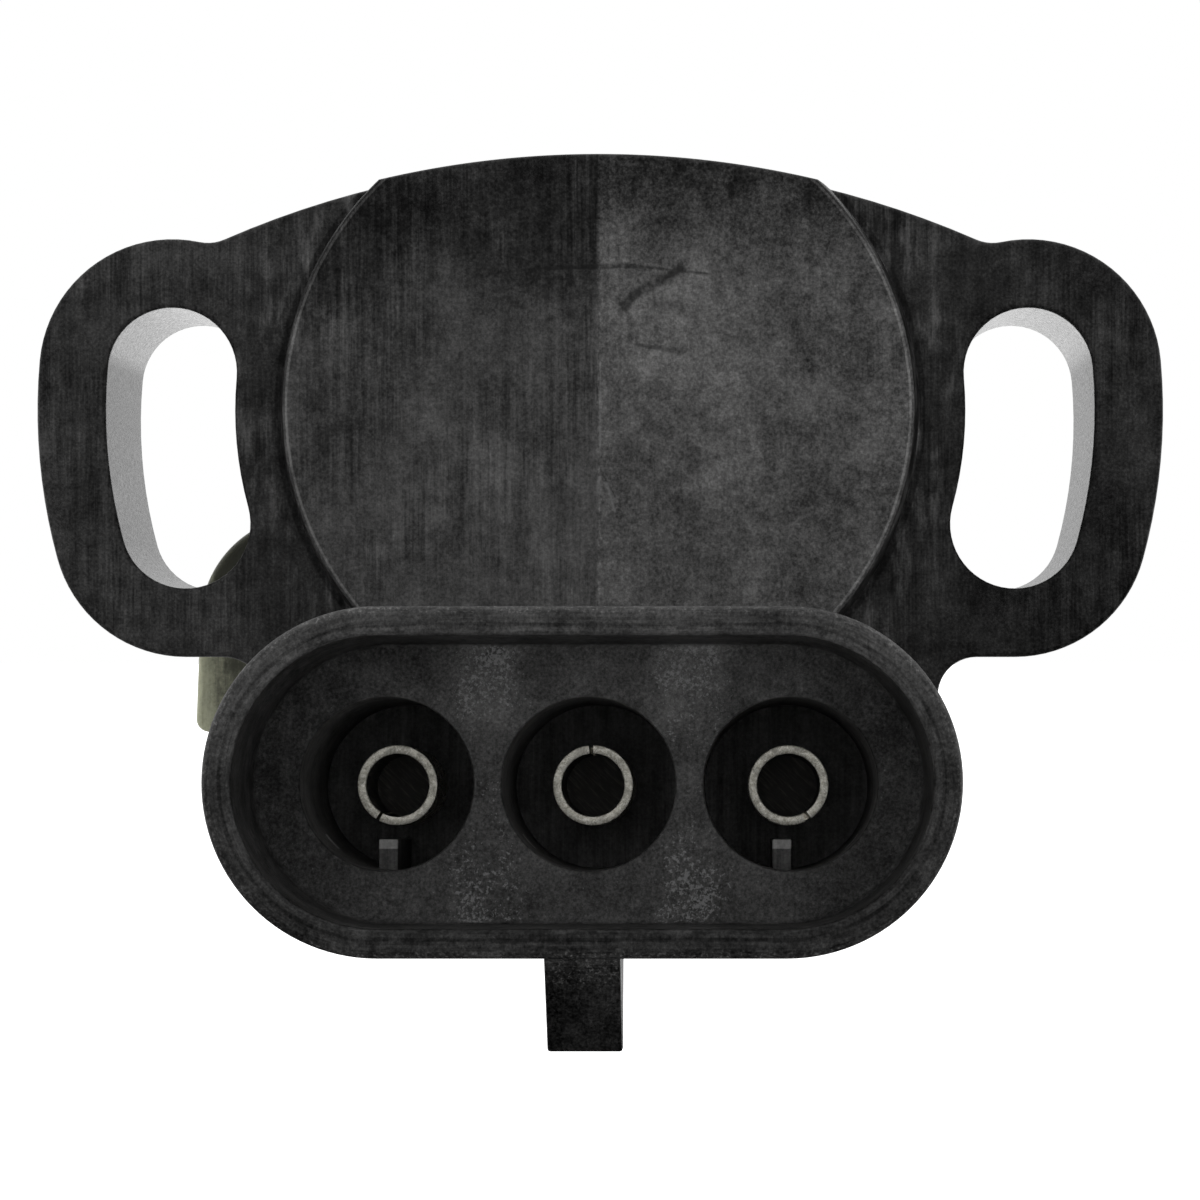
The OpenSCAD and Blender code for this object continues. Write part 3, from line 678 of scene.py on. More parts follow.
def face_tones(tree, place, x, z):
    """Painted light and shade of the round face: darker on the left of its crease, paler on the right, darker
    towards the top and the outer sides, with a painted sheen just right of the crease.
    """
    frayed = (x + noise(tree, place, 0.9, 1.0, 0.5) * 0.25).step(0.12, -0.1)
    broad = noise(tree, place, 0.22, 1.0, 0.5)
    left = z.step(6.8, 2.6, 0.14, 0.262) + x.step(-4.5, -8.5, 0.0, -0.02) + broad * 0.1
    left = left + z.step(0.0, -5.0) * 0.02
    right = z.step(8.6, 4.4, 0.175, 0.31) + x.step(4.5, 10.0, 0.0, -0.03) + broad * 0.1
    right = right + x.step(2.4, 0.2) * z.step(-3.5, 0.5) * z.step(6.8, 3.5) * 0.03
    return frayed * left + (1.0 - frayed) * right


def region_tones(tree, place):
    """How bright the moulding is painted in each of its regions, much of it painted light and shade, and the
    masks of these regions.
    """
    x, y, z = split_place(tree, place)
    up = z - CONNECTOR_Z + (y - MOUTH) * math.tan(TILT)
    across = (x.size() - CORE_HALF).do("MAXIMUM", 0.0)
    core = (across * across + up * up).do("SQRT")
    radius = (x * x + z * z).do("SQRT")
    face = y.band(FACE_FRONT - 0.25, FACE_FRONT + 0.15, 0.08)
    # painted light and shade: a little paler at the left ear, darker at the right ear and darker still at the
    # lower right
    low_right = x.step(12.0, 14.0) * z.step(-1.5, -5.0)
    tone = 0.168 + x.step(-11.0, -14.5) * 0.03 - x.step(11.0, 14.5) * 0.01 - low_right * 0.04
    # pale flow lines beside the round face, drawn as painted highlights
    frost_highlight = noise(tree, place, (1.7, 1.0, 0.42), 3.0, 0.65).step(-0.04, 0.2)
    frost_highlight = frost_highlight * radius.step(14.5, 12.0) * (1.0 - face)
    tone = tone + frost_highlight * 0.16
    tone = tone + face * (face_tones(tree, place, x, z) - tone)
    # the face's rounded edge gets a painted highlight, with a painted shadow line outside it where the face's
    # side meets the plate
    pale = radius.band(FACE_RADIUS - 0.18, FACE_RADIUS - 0.13, 0.04)
    pale = pale * y.step(FACE_FRONT + 0.55, FACE_FRONT + 0.3)
    dark = radius.band(FACE_RADIUS + 0.31, FACE_RADIUS + 0.45, 0.08)
    dark = dark * y.band(PLATE_FRONT - 0.2, PLATE_FRONT + 0.1, 0.1)
    tone = tone + pale * 0.12 - dark * 0.07
    # the connector's mouth has its own tone with painted light: paler towards the top, darker towards the
    # bottom and a little paler towards the left
    mouth = y.step(MOUTH + 1.3, MOUTH + 0.7)
    rim_tone_and_light = 0.205 + up.step(-3.0, 4.0, -0.038, 0.03) + x.step(5.0, -8.0) * 0.01
    tone = tone + mouth * (rim_tone_and_light - tone)
    # the recess's walls and floor are painted paler than the plate, a painted fill light in the hollow; the
    # floor has a painted pool of light in its middle and a painted highlight towards the top between the pins
    bore = SHELL_RADIUS - SHELL_WALL
    inside = y.step(SEAL_FLOOR + 0.8, SEAL_FLOOR + 0.4) * y.step(MOUTH + 0.2, MOUTH + 0.5)
    inside = inside * core.step(bore + 0.35, bore + 0.05)
    floor = core.step(bore + 0.1, bore - 0.1) * y.band(SEAL_FLOOR - 0.35, SEAL_FLOOR + 0.35, 0.1)
    middle = x.size().step(10.6, 6.0)
    between = (x.size() - PITCH / 2).size().step(2.0, 0.5)
    floor_tone_and_light = 0.21 + middle * 0.055 + between * up.step(0.0, 3.2, 0.0, 0.08)
    tone = tone + inside * (0.24 - tone)
    tone = tone + floor * (floor_tone_and_light - tone)
    away, depth, dx, dz = pin_place(tree)
    # the terminals' cavities are painted paler still, a painted fill light in the deep hollows, with a
    # painted highlight on the rib's front end
    hole = away.step(CAVITY_RADIUS + 0.12, CAVITY_RADIUS) * y.band(SEAL_FLOOR + 0.2, CAVITY_FLOOR + 0.4, 0.1)
    rib_end_highlight = depth.band(RIB_FRONT - 0.5, RIB_FRONT + 0.1, 0.05) * dz.band(-2.16, -1.7, 0.04)
    hole_tone_and_light = depth.step(CAVITY_FLOOR - 0.5, CAVITY_FLOOR - 0.3, 0.36, 0.31) + rib_end_highlight * 0.3
    tone = tone + hole * (hole_tone_and_light - tone)
    # painted shade under the connector shell, over the ramp
    under_shell_shade = z.step(SHELL_BOTTOM - 0.2, SHELL_BOTTOM - 0.5) * y.step(SEAL_FLOOR + 1.4, SEAL_FLOOR + 0.4)
    tone = tone + under_shell_shade * (0.13 - tone)
    outside = (x.size().step(12.6, 12.9) + z.step(-7.0, -6.0)).held()
    walls = y.band(PLATE_FRONT + 0.25, PLATE_BACK - 0.2, 0.1) * outside
    return {"tone": tone, "face": face, "rim": mouth * core.step(4.5, 4.7), "core": core, "up": up,
            "x": x, "z": z, "floor": floor, "walls": walls, "between": between}


def housing_material(settings):
    """Black glass-filled moulding: streaked plate, a rubbed round face with painted light and shade, speckled
    recess.
    """
    material, tree, shader = new_material("black_moulding", 0.0, 0.26)
    place = place_of(tree)
    at = region_tones(tree, place)
    wanted = ("x", "z", "tone", "face", "rim", "core", "floor")
    x, z, tone, face, rim, core, floor = [at[key] for key in wanted]
    right = face * x.step(-0.06, 0.03)
    # the parting crease of the round face, with a frayed painted highlight along it
    near = (x - 0.03 + noise(tree, place, 1.6, 1.0, 0.6) * 0.1).size()
    crease = near.step(0.13, 0.0) * 0.7 + near.step(0.6, 0.0) * 0.3
    broken = noise(tree, place, (7.0, 1.0, 2.2), 2.0, 0.75).step(-0.1, 0.24)
    crease = crease * z.step(4.9, 3.6) * broken * face
    tone = tone + crease * 0.13
    # streaks that run along the rim, a painted shadow line for a groove and a speckled painted highlight on
    # the flash of its rounded outer edge
    along = node(tree, "ShaderNodeCombineXYZ", {
        0: core * 9.0, 1: (x.size() - CORE_HALF).do("MAXIMUM", 0.0).do("ARCTAN2", at["up"]) * 2.2,
        2: x.do("MAXIMUM", -CORE_HALF).do("MINIMUM", CORE_HALF) * 0.45}).outputs[0]
    tone = tone + rim * noise(tree, along, 1.0, 3.0, 0.65) * 0.2
    lip_highlight = core.step(5.25, 5.5) * rim * noise(tree, place, 8.0, 2.0, 0.75).step(0.0, 0.22)
    tone = tone - core.band(4.98, 5.02, 0.08) * rim * 0.05 + lip_highlight * 0.16
    streaks = 0.17 - right * 0.1 - rim * 0.13 - floor * 0.13
    skin = use_group(tree, shared(moulded_skin), Base=tone, Streaks=streaks, Clouds=0.18 + right * 0.07,
                     Grain=0.14 + right * 0.06 + floor * 0.05, Gain=settings.gain)
    colour = mix_colour(tree, most_of(tree, place, FACE_MARKS) * face * 0.9, skin["Color"], grey(0.006))
    chips = most_of(tree, place, FACE_CHIPS)
    colour = mix_colour(tree, chips * face * 0.55, colour, grey(0.24))
    # glass fibres show most in the recess's floor, and a little everywhere
    # more fibre specks between the pins, towards the top and the bottom
    specks_and_shade = at["between"] * (at["up"].size().step(1.0, 3.4) * 0.45 + 0.2)
    amount = floor * (0.3 + specks_and_shade) + 0.06 + rim * 0.12
    fibres = use_group(tree, shared(fibre_specks), Amount=amount * settings.fibres * 2, Size=8.0)
    colour = mix_colour(tree, fibres["Mask"] * (floor * 0.35 + 0.2), colour, grey(0.3, -0.01))
    plug(tree, shader.inputs["Base Color"], colour)
    rough = skin["Roughness"]
    rough = rough + at["walls"] * (skin["Height"] * 0.5 + 0.02 - rough)
    plug(tree, shader.inputs["Roughness"], rough)
    bump(tree, shader, skin["Height"], 0.35, 0.02)
    return material


def plain_moulding(name, base, streaks=0.08):
    """Smaller mouldings of the same family as the housing."""
    material, tree, shader = new_material(name, 0.0, 0.4)
    skin = use_group(tree, shared(moulded_skin), Base=base, Streaks=streaks, Clouds=0.06, Grain=0.05)
    fibres = use_group(tree, shared(fibre_specks), Amount=0.15, Size=9.0)
    colour = mix_colour(tree, fibres["Mask"] * 0.2, skin["Color"], grey(0.2))
    plug(tree, shader.inputs["Base Color"], colour)
    plug(tree, shader.inputs["Roughness"], skin["Roughness"])
    bump(tree, shader, skin["Height"], 0.3, 0.02)
    return material


def metal(name, clean, dull, wear=0.5, along=1.0, strength=0.3):
    material, tree, shader = new_material(name, 1.0)
    wear_and_shade = use_group(tree, shared(drawn_metal), Clean=clean, Dull=dull, Wear=wear, Along=along)
    plug(tree, shader.inputs["Base Color"], wear_and_shade["Color"])
    plug(tree, shader.inputs["Roughness"], wear_and_shade["Roughness"])
    bump(tree, shader, wear_and_shade["Height"], strength, 0.01)
    return material


def terminal_material(settings):
    """Dulled plating with bright ends; deep inside the tubes a painted shade, dark and matt with faint
    streaks.
    """
    material, tree, shader = new_material("dulled_plating", 1.0)
    clean, dull = (*settings.clean, 1), (*settings.dull, 1)
    wear_and_shade = use_group(tree, shared(drawn_metal), Clean=clean, Dull=dull, Wear=0.55)
    away, depth, dx, dz = pin_place(tree)
    bore = PIN_RADIUS - PIN_WALL
    # painted shade: beyond a quarter millimetre into a tube the plating turns to a dark matt colour with
    # faint streaks
    inside = away.step(bore + 0.06, bore) * depth.step(PIN_END + 0.05, PIN_END + 0.25)
    slanted = node(tree, "ShaderNodeCombineXYZ", {
        0: (dx + dz) * 9.0, 1: depth * 0.6, 2: (dx - dz) * 1.1}).outputs[0]
    smear = noise(tree, slanted, 1.0, 3.0, 0.6).step(-0.05, 0.3)
    specks_and_shade = mix_colour(tree, smear, (0.05, 0.048, 0.044, 1), (0.16, 0.15, 0.13, 1))
    cut = depth.step(PIN_END + 0.12, PIN_END + 0.04)
    pitted = noise(tree, place_of(tree), 14.0, 2.0, 0.7).step(-0.2, 0.2)
    ends = mix_colour(tree, pitted, (0.5, 0.48, 0.4, 1), (0.9, 0.88, 0.8, 1))
    plated = mix_colour(tree, cut, wear_and_shade["Color"], ends)
    plug(tree, shader.inputs["Base Color"], mix_colour(tree, inside, plated, specks_and_shade))
    plug(tree, shader.inputs["Metallic"], 1.0 - inside - cut * 0.5)
    plug(tree, shader.inputs["Roughness"], wear_and_shade["Roughness"] + inside * 0.4)
    bump(tree, shader, wear_and_shade["Height"], 0.3, 0.01)
    return material


def nylon_material(settings):
    """Greyed natural nylon with drawn-out streaks and soiled patches, and painted shade where the lever lies
    behind the plate.
    """
    material, tree, shader = new_material("aged_nylon", 0.0, 0.5)
    place = place_of(tree)
    streak = noise(tree, place, (6.0, 2.0, 0.7), 4.0, 0.65, 0.3)
    grain = noise(tree, place, 7.0, 3.0, 0.7)
    x, y, z = split_place(tree, place)
    # painted shade: paler at the arm's far left end, darker towards the right and the top, where the plate
    # shades the lever
    wear_and_shade = x.step(-14.6, -16.0, -0.18, 0.16) - z.step(-8.6, -6.8) * 0.3
    soil_and_shade = (streak * 0.5 + grain * 0.4 + noise(tree, place, 0.9, 3.0, 0.6) * 0.6 + wear_and_shade).step(-0.3, 0.3)
    # dark and pale nylon, for the soiled patches and the painted shade alike
    dark = tuple(c * 0.25 for c in settings.colour)
    light = tuple(min(1.0, c * 1.25) for c in settings.colour)
    plug(tree, shader.inputs["Base Color"], mix_colour(tree, soil_and_shade, (*dark, 1), (*light, 1)))
    plug(tree, shader.inputs["Roughness"], 0.5 + grain * 0.3)
    shader.inputs["Subsurface Weight"].default_value = 0.2
    shader.inputs["Subsurface Radius"].default_value = (1.2, 1.1, 0.8)
    shader.inputs["Subsurface Scale"].default_value = 0.4 * MM
    bump(tree, shader, grain, 0.15, 0.02)
    return material


def soft_material(name, colour, roughness, spots=0.25, scale=3.0):
    """Rubber, resin and board: one colour with cloudy variation and a fine grain."""
    material, tree, shader = new_material(name)
    place = place_of(tree)
    clouds = noise(tree, place, scale, 4.0, 0.6, 0.3)
    dark = tuple(c * (1 - spots) for c in colour)
    mottled = mix_colour(tree, clouds.step(-0.15, 0.15), (*dark, 1), (*colour, 1))
    plug(tree, shader.inputs["Base Color"], mottled)
    plug(tree, shader.inputs["Roughness"], clouds.step(-0.2, 0.2, roughness * 0.85, roughness * 1.1))
    bump(tree, shader, noise(tree, place, 20.0, 3.0, 0.6), 0.2, 0.015)
    return material


# Geometry node trees


def geometry_tree(name, inputs):
    tree = bpy.data.node_groups.new(name, "GeometryNodeTree")
    tree.interface.new_socket("Geometry", in_out="INPUT", socket_type="NodeSocketGeometry")
    for label, kind, default in inputs:
        made = tree.interface.new_socket(label, in_out="INPUT", socket_type=kind)
        if default is not None:
            made.default_value = default
    tree.interface.new_socket("Geometry", in_out="OUTPUT", socket_type="NodeSocketGeometry")
    return tree, tree.nodes.new("NodeGroupInput").outputs, tree.nodes.new("NodeGroupOutput").inputs


def run_tree(obj, tree, values):
    """Runs a geometry tree on the object with named values, and leaves plain mesh."""
    modifier = obj.modifiers.new(tree.name, "NODES")
    modifier.node_group = tree
    for item in tree.interface.items_tree:
        if item.in_out == "INPUT" and item.name in values:
            modifier[item.identifier] = values[item.name]
    return applied(obj)


def end_tree(tree, out, geometry, material):
    real = node(tree, "GeometryNodeRealizeInstances", {"Geometry": geometry}).outputs[0]
    done = node(tree, "GeometryNodeSetMaterial", {"Geometry": real, "Material": material}).outputs[0]
    tree.links.new(done, out["Geometry"])


def row_tree(material):
    """Copies of the piece along X, a pitch apart."""
    sockets = [("Count", "NodeSocketInt", 3), ("Pitch", "NodeSocketFloat", 0.01)]
    tree, inp, out = geometry_tree("pieces_in_a_row", sockets)
    count = math_node(tree, "SUBTRACT", inp["Count"], 1.0)
    start = math_node(tree, "MULTIPLY", math_node(tree, "MULTIPLY", count, inp["Pitch"]), -0.5)
    offset = node(tree, "ShaderNodeCombineXYZ", {"X": inp["Pitch"]}).outputs[0]
    first = node(tree, "ShaderNodeCombineXYZ", {"X": start}).outputs[0]
    line = node(tree, "GeometryNodeMeshLine", {
        "Count": inp["Count"], "Start Location": first, "Offset": offset}, mode="OFFSET").outputs[0]
    copies = node(tree, "GeometryNodeInstanceOnPoints", {"Points": line, "Instance": inp["Geometry"]})
    end_tree(tree, out, copies.outputs[0], material)
    return tree


def wire_tree(material):
    """Round wire along the piece's path."""
    sockets = [("Wire radius", "NodeSocketFloat", 0.0003), ("Sides", "NodeSocketInt", 16)]
    tree, inp, out = geometry_tree("wire_along_path", sockets)
    path = node(tree, "GeometryNodeMeshToCurve", {"Mesh": inp["Geometry"]}).outputs[0]
    ring = node(tree, "GeometryNodeCurvePrimitiveCircle", {
        "Radius": inp["Wire radius"], "Resolution": inp["Sides"]}).outputs[0]
    wire = node(tree, "GeometryNodeCurveToMesh", {"Curve": path, "Profile Curve": ring, "Fill Caps": True})
    end_tree(tree, out, wire.outputs[0], material)
    return tree


# Settings


def length(label, text, default, **more):
    return bpy.props.FloatProperty(name=label, description=text, default=default * MM, unit="LENGTH",
                                   subtype="DISTANCE", precision=5, **more)


def colour(label, text, default):
    return bpy.props.FloatVectorProperty(name=label, description=text, default=default, subtype="COLOR",
                                         size=3, min=0, max=1)


class SensorHousingSettings(bpy.types.PropertyGroup):
    edge_round: length("Edge rounding", "Radius of the plate's and the ears' edges", 0.18, min=0)
    lip_round: length("Lip rounding", "Radius of the connector mouth's outer edge", 0.35, min=0)
    gain: bpy.props.FloatProperty(name="Gain", description="Brightness of the moulding's own colour",
                                  default=1.0, min=0)
    fibres: bpy.props.FloatProperty(name="Fibres", description="Share of glass fibres that show as specks",
                                    default=0.5, min=0, max=1, subtype="FACTOR")


class SensorTerminalSettings(bpy.types.PropertyGroup):
    clean: colour("Plating", "Colour of the clean plating", (0.8, 0.76, 0.65))
    dull: colour("Tarnish", "Colour of the dulled plating", (0.42, 0.38, 0.3))
    lip: length("Lip rounding", "Rounding of the tubes' ends", 0.03, min=0)


class SensorSpringSettings(bpy.types.PropertyGroup):
    wire: length("Wire", "Diameter of the spring's wire", 0.6, min=0.1 * MM)
    turns: bpy.props.FloatProperty(name="Turns", description="Turns of the coil", default=4.25, min=1)


class SensorLeverSettings(bpy.types.PropertyGroup):
    colour: colour("Nylon", "Colour of the aged nylon", (0.4, 0.41, 0.29))
    edge_round: length("Edge rounding", "Radius of the lever's edges", 0.3, min=0)


class SensorStageSettings(bpy.types.PropertyGroup):
    floor_height: length("Floor height", "Height of the floor in the part's frame", -36.0)
    key_power: bpy.props.FloatProperty(name="Key light", description="Power of the large upper light",
                                       default=0.12, min=0, unit="POWER")
    side_power: bpy.props.FloatProperty(name="Side light", description="Power of the light at the left",
                                        default=0.05, min=0, unit="POWER")
    lens: bpy.props.FloatProperty(name="Lens", description="Focal length of the camera, in millimetres",
                                  default=119.0, min=10)


# Pieces


def make_plate(bm, edge):
    rounded_slab(bm, body_loop(), [slot_loop(1), slot_loop(-1)], PLATE_FRONT, PLATE_BACK, edge, edge)


def make_face(bm, edge):
    """Raised round face with its drafted side, down into the plate."""
    def at(y):
        return FACE_RADIUS + FACE_DRAFT * (y - FACE_FRONT) / (PLATE_FRONT - FACE_FRONT)
    levels = [(cut_by_top(FACE_RADIUS - d, TOP_RADIUS - d), FACE_FRONT + back)
              for d, back in edge_steps(edge)]
    levels += [(cut_by_top(at(y), TOP_RADIUS), y) for y in (-10.2, -9.4, -8.5)]
    stacked(bm, levels)


def make_shell(bm, lip):
    """Connector shell with its rounded mouth and the recess for the mating seal."""
    inner = SHELL_RADIUS - SHELL_WALL
    levels = [(oval_loop(SHELL_RADIUS), PLATE_FRONT + 0.5)]
    levels += [(oval_loop(SHELL_RADIUS - d), MOUTH + back) for d, back in reversed(edge_steps(lip, 5))]
    levels += [(oval_loop(inner + d), MOUTH + back) for d, back in edge_steps(0.14, 4)]
    floor = [(inner - 0.3 * (1 - math.cos(t)), SEAL_FLOOR - 0.3 * (1 - math.sin(t)))
             for t in [math.pi / 2 * i / 4 for i in range(5)]]
    levels += [(oval_loop(r), y) for r, y in floor]
    stacked(bm, levels)


def make_collar(bm):
    """Thick root of the connector, which does not lean."""
    levels = [(oval_loop(SHELL_RADIUS - d), COLLAR + back) for d, back in edge_steps(0.15)]
    stacked(bm, levels + [(oval_loop(SHELL_RADIUS), PLATE_FRONT + 0.4)])


def make_ramp(bm):
    foot, tip = MOUTH + 0.5, SHELL_BOTTOM - RAMP_HEIGHT
    side = [(foot, SHELL_BOTTOM + 0.5), (foot, SHELL_BOTTOM), (foot + 2.8, tip), (foot + 3.7, tip),
            (foot + 4.1, SHELL_BOTTOM), (foot + 4.1, SHELL_BOTTOM + 0.5)]
    ends = [[bm.verts.new((x * MM, y * MM, z * MM)) for y, z in side]
            for x in (-RAMP_WIDTH / 2, RAMP_WIDTH / 2)]
    join_rings(bm, *ends)
    bm.faces.new(ends[0])
    bm.faces.new(reversed(ends[1]))
    bmesh.ops.bevel(bm, geom=bm.edges[:], offset=0.09 * MM, segments=2, affect="EDGES", profile=0.5)


def make_chamber(bm):
    stacked(bm, [(chamber_loop(0), CHAMBER_FLOOR), (chamber_loop(0), 1.0)])


def make_ledge(bm):
    stacked(bm, [(chamber_loop(LEDGE), LEDGE_Y), (chamber_loop(LEDGE), 1.0)])


def make_cavity(bm, x):
    r = CAVITY_RADIUS
    turned(bm, [(r, CAVITY_FLOOR), (r, SEAL_FLOOR + 0.07), (r + 0.02, SEAL_FLOOR + 0.03),
                (r + 0.08, SEAL_FLOOR - 0.03), (r + 0.08, SEAL_FLOOR - 0.6)], (x, CONNECTOR_Z), 120)


def make_pocket(bm, x):
    radius = RIVET_HEAD + 0.2
    turned(bm, [(radius, CHAMBER_FLOOR - 0.4), (radius, CHAMBER_FLOOR + 0.5)], (x, RIVET_Z), 48)


def make_tail_slit(bm, x):
    w, t = TAIL_WIDTH / 2 + SEAT_GAP, TAIL_THICK / 2 + SEAT_GAP
    box(bm, (x - w, CAVITY_FLOOR - 1, TAIL_Z - t), (x + w, CHAMBER_FLOOR + 1, TAIL_Z + t))


def make_rib(bm, x):
    """Low rib at the bottom of an outer cavity."""
    x += RIB_SHIFT
    box(bm, (x - RIB_HALF, RIB_FRONT, RIB_TOP - 2), (x + RIB_HALF, CAVITY_FLOOR + 0.3, RIB_TOP))
    bmesh.ops.bevel(bm, geom=bm.edges[:], offset=0.06 * MM, segments=2, affect="EDGES", profile=0.5)


def make_post(bm):
    turned(bm, [(POST_RADIUS, CHAMBER_FLOOR - 0.2), (POST_RADIUS, POST_BACK - 0.15),
                (POST_RADIUS - 0.15, POST_BACK)])


class SensorHousing(bpy.types.Operator):
    """Builds the black moulded housing with its ears, round face, connector shell and ramp"""
    bl_idname = "sensor.housing"
    bl_label = "Housing"

    def execute(self, context):
        settings = context.scene.sensor_housing
        edge = settings.edge_round / MM
        body = built("plate", make_plate, edge)
        adds = [built("face", make_face, 0.2), built("collar", make_collar),
                leaning("shell", make_shell, settings.lip_round / MM), leaning("ramp", make_ramp)]
        combine(body, "UNION", adds)
        cuts = [built("chamber", make_chamber), built("ledge", make_ledge)]
        cavities = [leaning(f"cavity_{i}", make_cavity, i * PITCH) for i in (-1, 0, 1)]
        for side, cavity in zip((-1, 1), cavities[::2]):
            combine(cavity, "DIFFERENCE", [leaning("rib", make_rib, side * PITCH)])
        cuts += cavities
        cuts += [built(f"pocket_{i}", make_pocket, i * PITCH) for i in (-1, 0, 1)]
        cuts += [built(f"slit_{i}", make_tail_slit, i * PITCH) for i in (-1, 0, 1)]
        combine(body, "DIFFERENCE", cuts)
        combine(body, "UNION", [built("post", make_post)])
        body.name = body.data.name = "moulded_housing"
        smooth(body)
        finish_piece(body, housing_material(settings), "sensor_body", "housing_plastic", "housing")
        return {"FINISHED"}


def make_tube(bm, x, seam_dir, seam_width, lip):
    """Rolled tube with its open seam, from its rounded mouth to its root."""
    outer, inner = PIN_RADIUS, PIN_RADIUS - PIN_WALL
    back = CAVITY_FLOOR - TAIL_THICK + 0.1
    profile = [(inner, back), (inner, PIN_END + lip)]
    profile += [(inner + lip * (1 - math.cos(t)), PIN_END + lip * (1 - math.sin(t)))
                for t in (0.4, 0.8, 1.2, 1.57)]
    profile += [(outer - lip + lip * math.sin(t), PIN_END + lip * (1 - math.cos(t)))
                for t in (0.0, 0.4, 0.8, 1.2)]
    profile += [(outer, PIN_END + lip), (outer, back)]
    half = math.degrees(seam_width / 2 / outer)
    rings = []
    count = 96
    for i in range(count + 1):
        a = math.radians(seam_dir + half + (360 - 2 * half) * i / count)
        c, s = math.cos(a), math.sin(a)
        rings.append([bm.verts.new(((x + r * c) * MM, y * MM, (CONNECTOR_Z + r * s) * MM))
                      for r, y in profile])
    for a, b in zip(rings, rings[1:]):
        join_rings(bm, a, b)
    bm.faces.new(rings[0])
    bm.faces.new(rings[-1])


def make_root(bm, x):
    turned(bm, [(PIN_RADIUS, CAVITY_FLOOR - TAIL_THICK), (PIN_RADIUS, CAVITY_FLOOR)], (x, CONNECTOR_Z), 96)


def make_tail(bm, x):
    w, t = TAIL_WIDTH / 2, TAIL_THICK / 2
    box(bm, (x - w, CAVITY_FLOOR - 0.25, TAIL_Z - t), (x + w, PRINT_Y + TAIL_THICK, TAIL_Z + t))


def make_tab(bm, x):
    w, t = TAIL_WIDTH / 2, TAIL_THICK / 2
    low, high = TAIL_Z - t + 0.001, RIVET_Z + 1
    outline = [(x - w, low), (x + w, low), (x + w, high), (x - w, high)]
    rounded_slab(bm, outline, [circle_loop(RIVET_RADIUS + SEAT_GAP, (x, RIVET_Z), 48)], PRINT_Y,
                 PRINT_Y + TAIL_THICK - 0.001, 0.04, 0.04)


class SensorTerminals(bpy.types.Operator):
    """Builds the three rolled terminal tubes with their seams, roots and bent tails"""
    bl_idname = "sensor.terminals"
    bl_label = "Terminals"

    def execute(self, context):
        settings = context.scene.sensor_terminals
        material = terminal_material(settings)
        seams = {"left": (-1, 240, 0.13), "centre": (0, 93, 0.16), "right": (1, 300, 0.22)}
        for side, (place, seam_dir, width) in seams.items():
            x = place * PITCH
            tube = leaning("tube", make_tube, x, seam_dir, width, settings.lip / MM)
            rest = [leaning("root", make_root, x), built("tail", make_tail, x), built("tab", make_tab, x)]
            combine(tube, "UNION", rest)
            tube.name = tube.data.name = f"pin_{side}"
            smooth(tube)
            finish_piece(tube, material, "sensor_body", "terminal_metal", f"terminal_{side}")
        return {"FINISHED"}


def make_rivet(bm):
    """Eyelet rivet with two domed heads, at the middle terminal."""
    front, back = CHAMBER_FLOOR - RIVET_HEAD_T, PRINT_Y + TAIL_THICK + RIVET_HEAD_T
    half = [(RIVET_HEAD - 0.18, 0.0), (RIVET_HEAD - 0.04, 0.06), (RIVET_HEAD, 0.16),
            (RIVET_HEAD, RIVET_HEAD_T), (RIVET_RADIUS, RIVET_HEAD_T)]
    profile = [(r, front + y) for r, y in half] + [(r, back - y) for r, y in reversed(half)]
    turned(bm, profile, (0.0, RIVET_Z), 48)


class SensorRivets(bpy.types.Operator):
    """Places the three rivets of the terminals' tails in a row"""
    bl_idname = "sensor.rivets"
    bl_label = "Rivets"

    def execute(self, context):
        material = metal("rivet_plating", grey(0.62, 0.04), grey(0.3, 0.05), 0.4)
        rivets = built("tail_rivets", make_rivet)
        run_tree(rivets, row_tree(material), {"Count": 3, "Pitch": PITCH * MM})
        smooth(rivets)
        finish_piece(rivets, material, "sensor_body", "rivet_metal", "terminal_rivets")
        return {"FINISHED"}


class SensorElement(bpy.types.Operator):
    """Finishes the element board, its printed tracks and the resin round the tails"""
    bl_idname = "sensor.element"
    bl_label = "Element"

    def execute(self, context):
        dress("element_board", soft_material("board_laminate", (0.3, 0.19, 0.08), 0.5, 0.3, 2.0))
        dress("resistive_track", soft_material("carbon_ink", (0.012, 0.012, 0.012), 0.35, 0.3, 5.0))
        silver = metal("silver_ink", grey(0.6, 0.02), grey(0.35, 0.03), 0.6)
        dress("collector_track", silver)
        dress("track_leads", silver)
        dress("terminal_seal", soft_material("poured_resin", (0.03, 0.022, 0.014), 0.2, 0.3, 1.5))
        return {"FINISHED"}


class SensorRotor(bpy.types.Operator):
    """Rounds the rotor's edges and finishes it with its wiper and thrust washer"""
    bl_idname = "sensor.rotor"
    bl_label = "Rotor"

    def execute(self, context):
        rotor = softened_copy("rotor", "rotor_drum", 0.12)
        finish_piece(rotor, plain_moulding("dark_acetal", 0.17, 0.03),
                     "rotor_and_lever", "rotor_plastic", "rotor")
        dress("wiper", metal("wiper_alloy", (0.62, 0.5, 0.26, 1), (0.35, 0.26, 0.12, 1), 0.3))
        dress("thrust_washer", metal("washer_steel", grey(0.55), grey(0.3), 0.4))
        return {"FINISHED"}


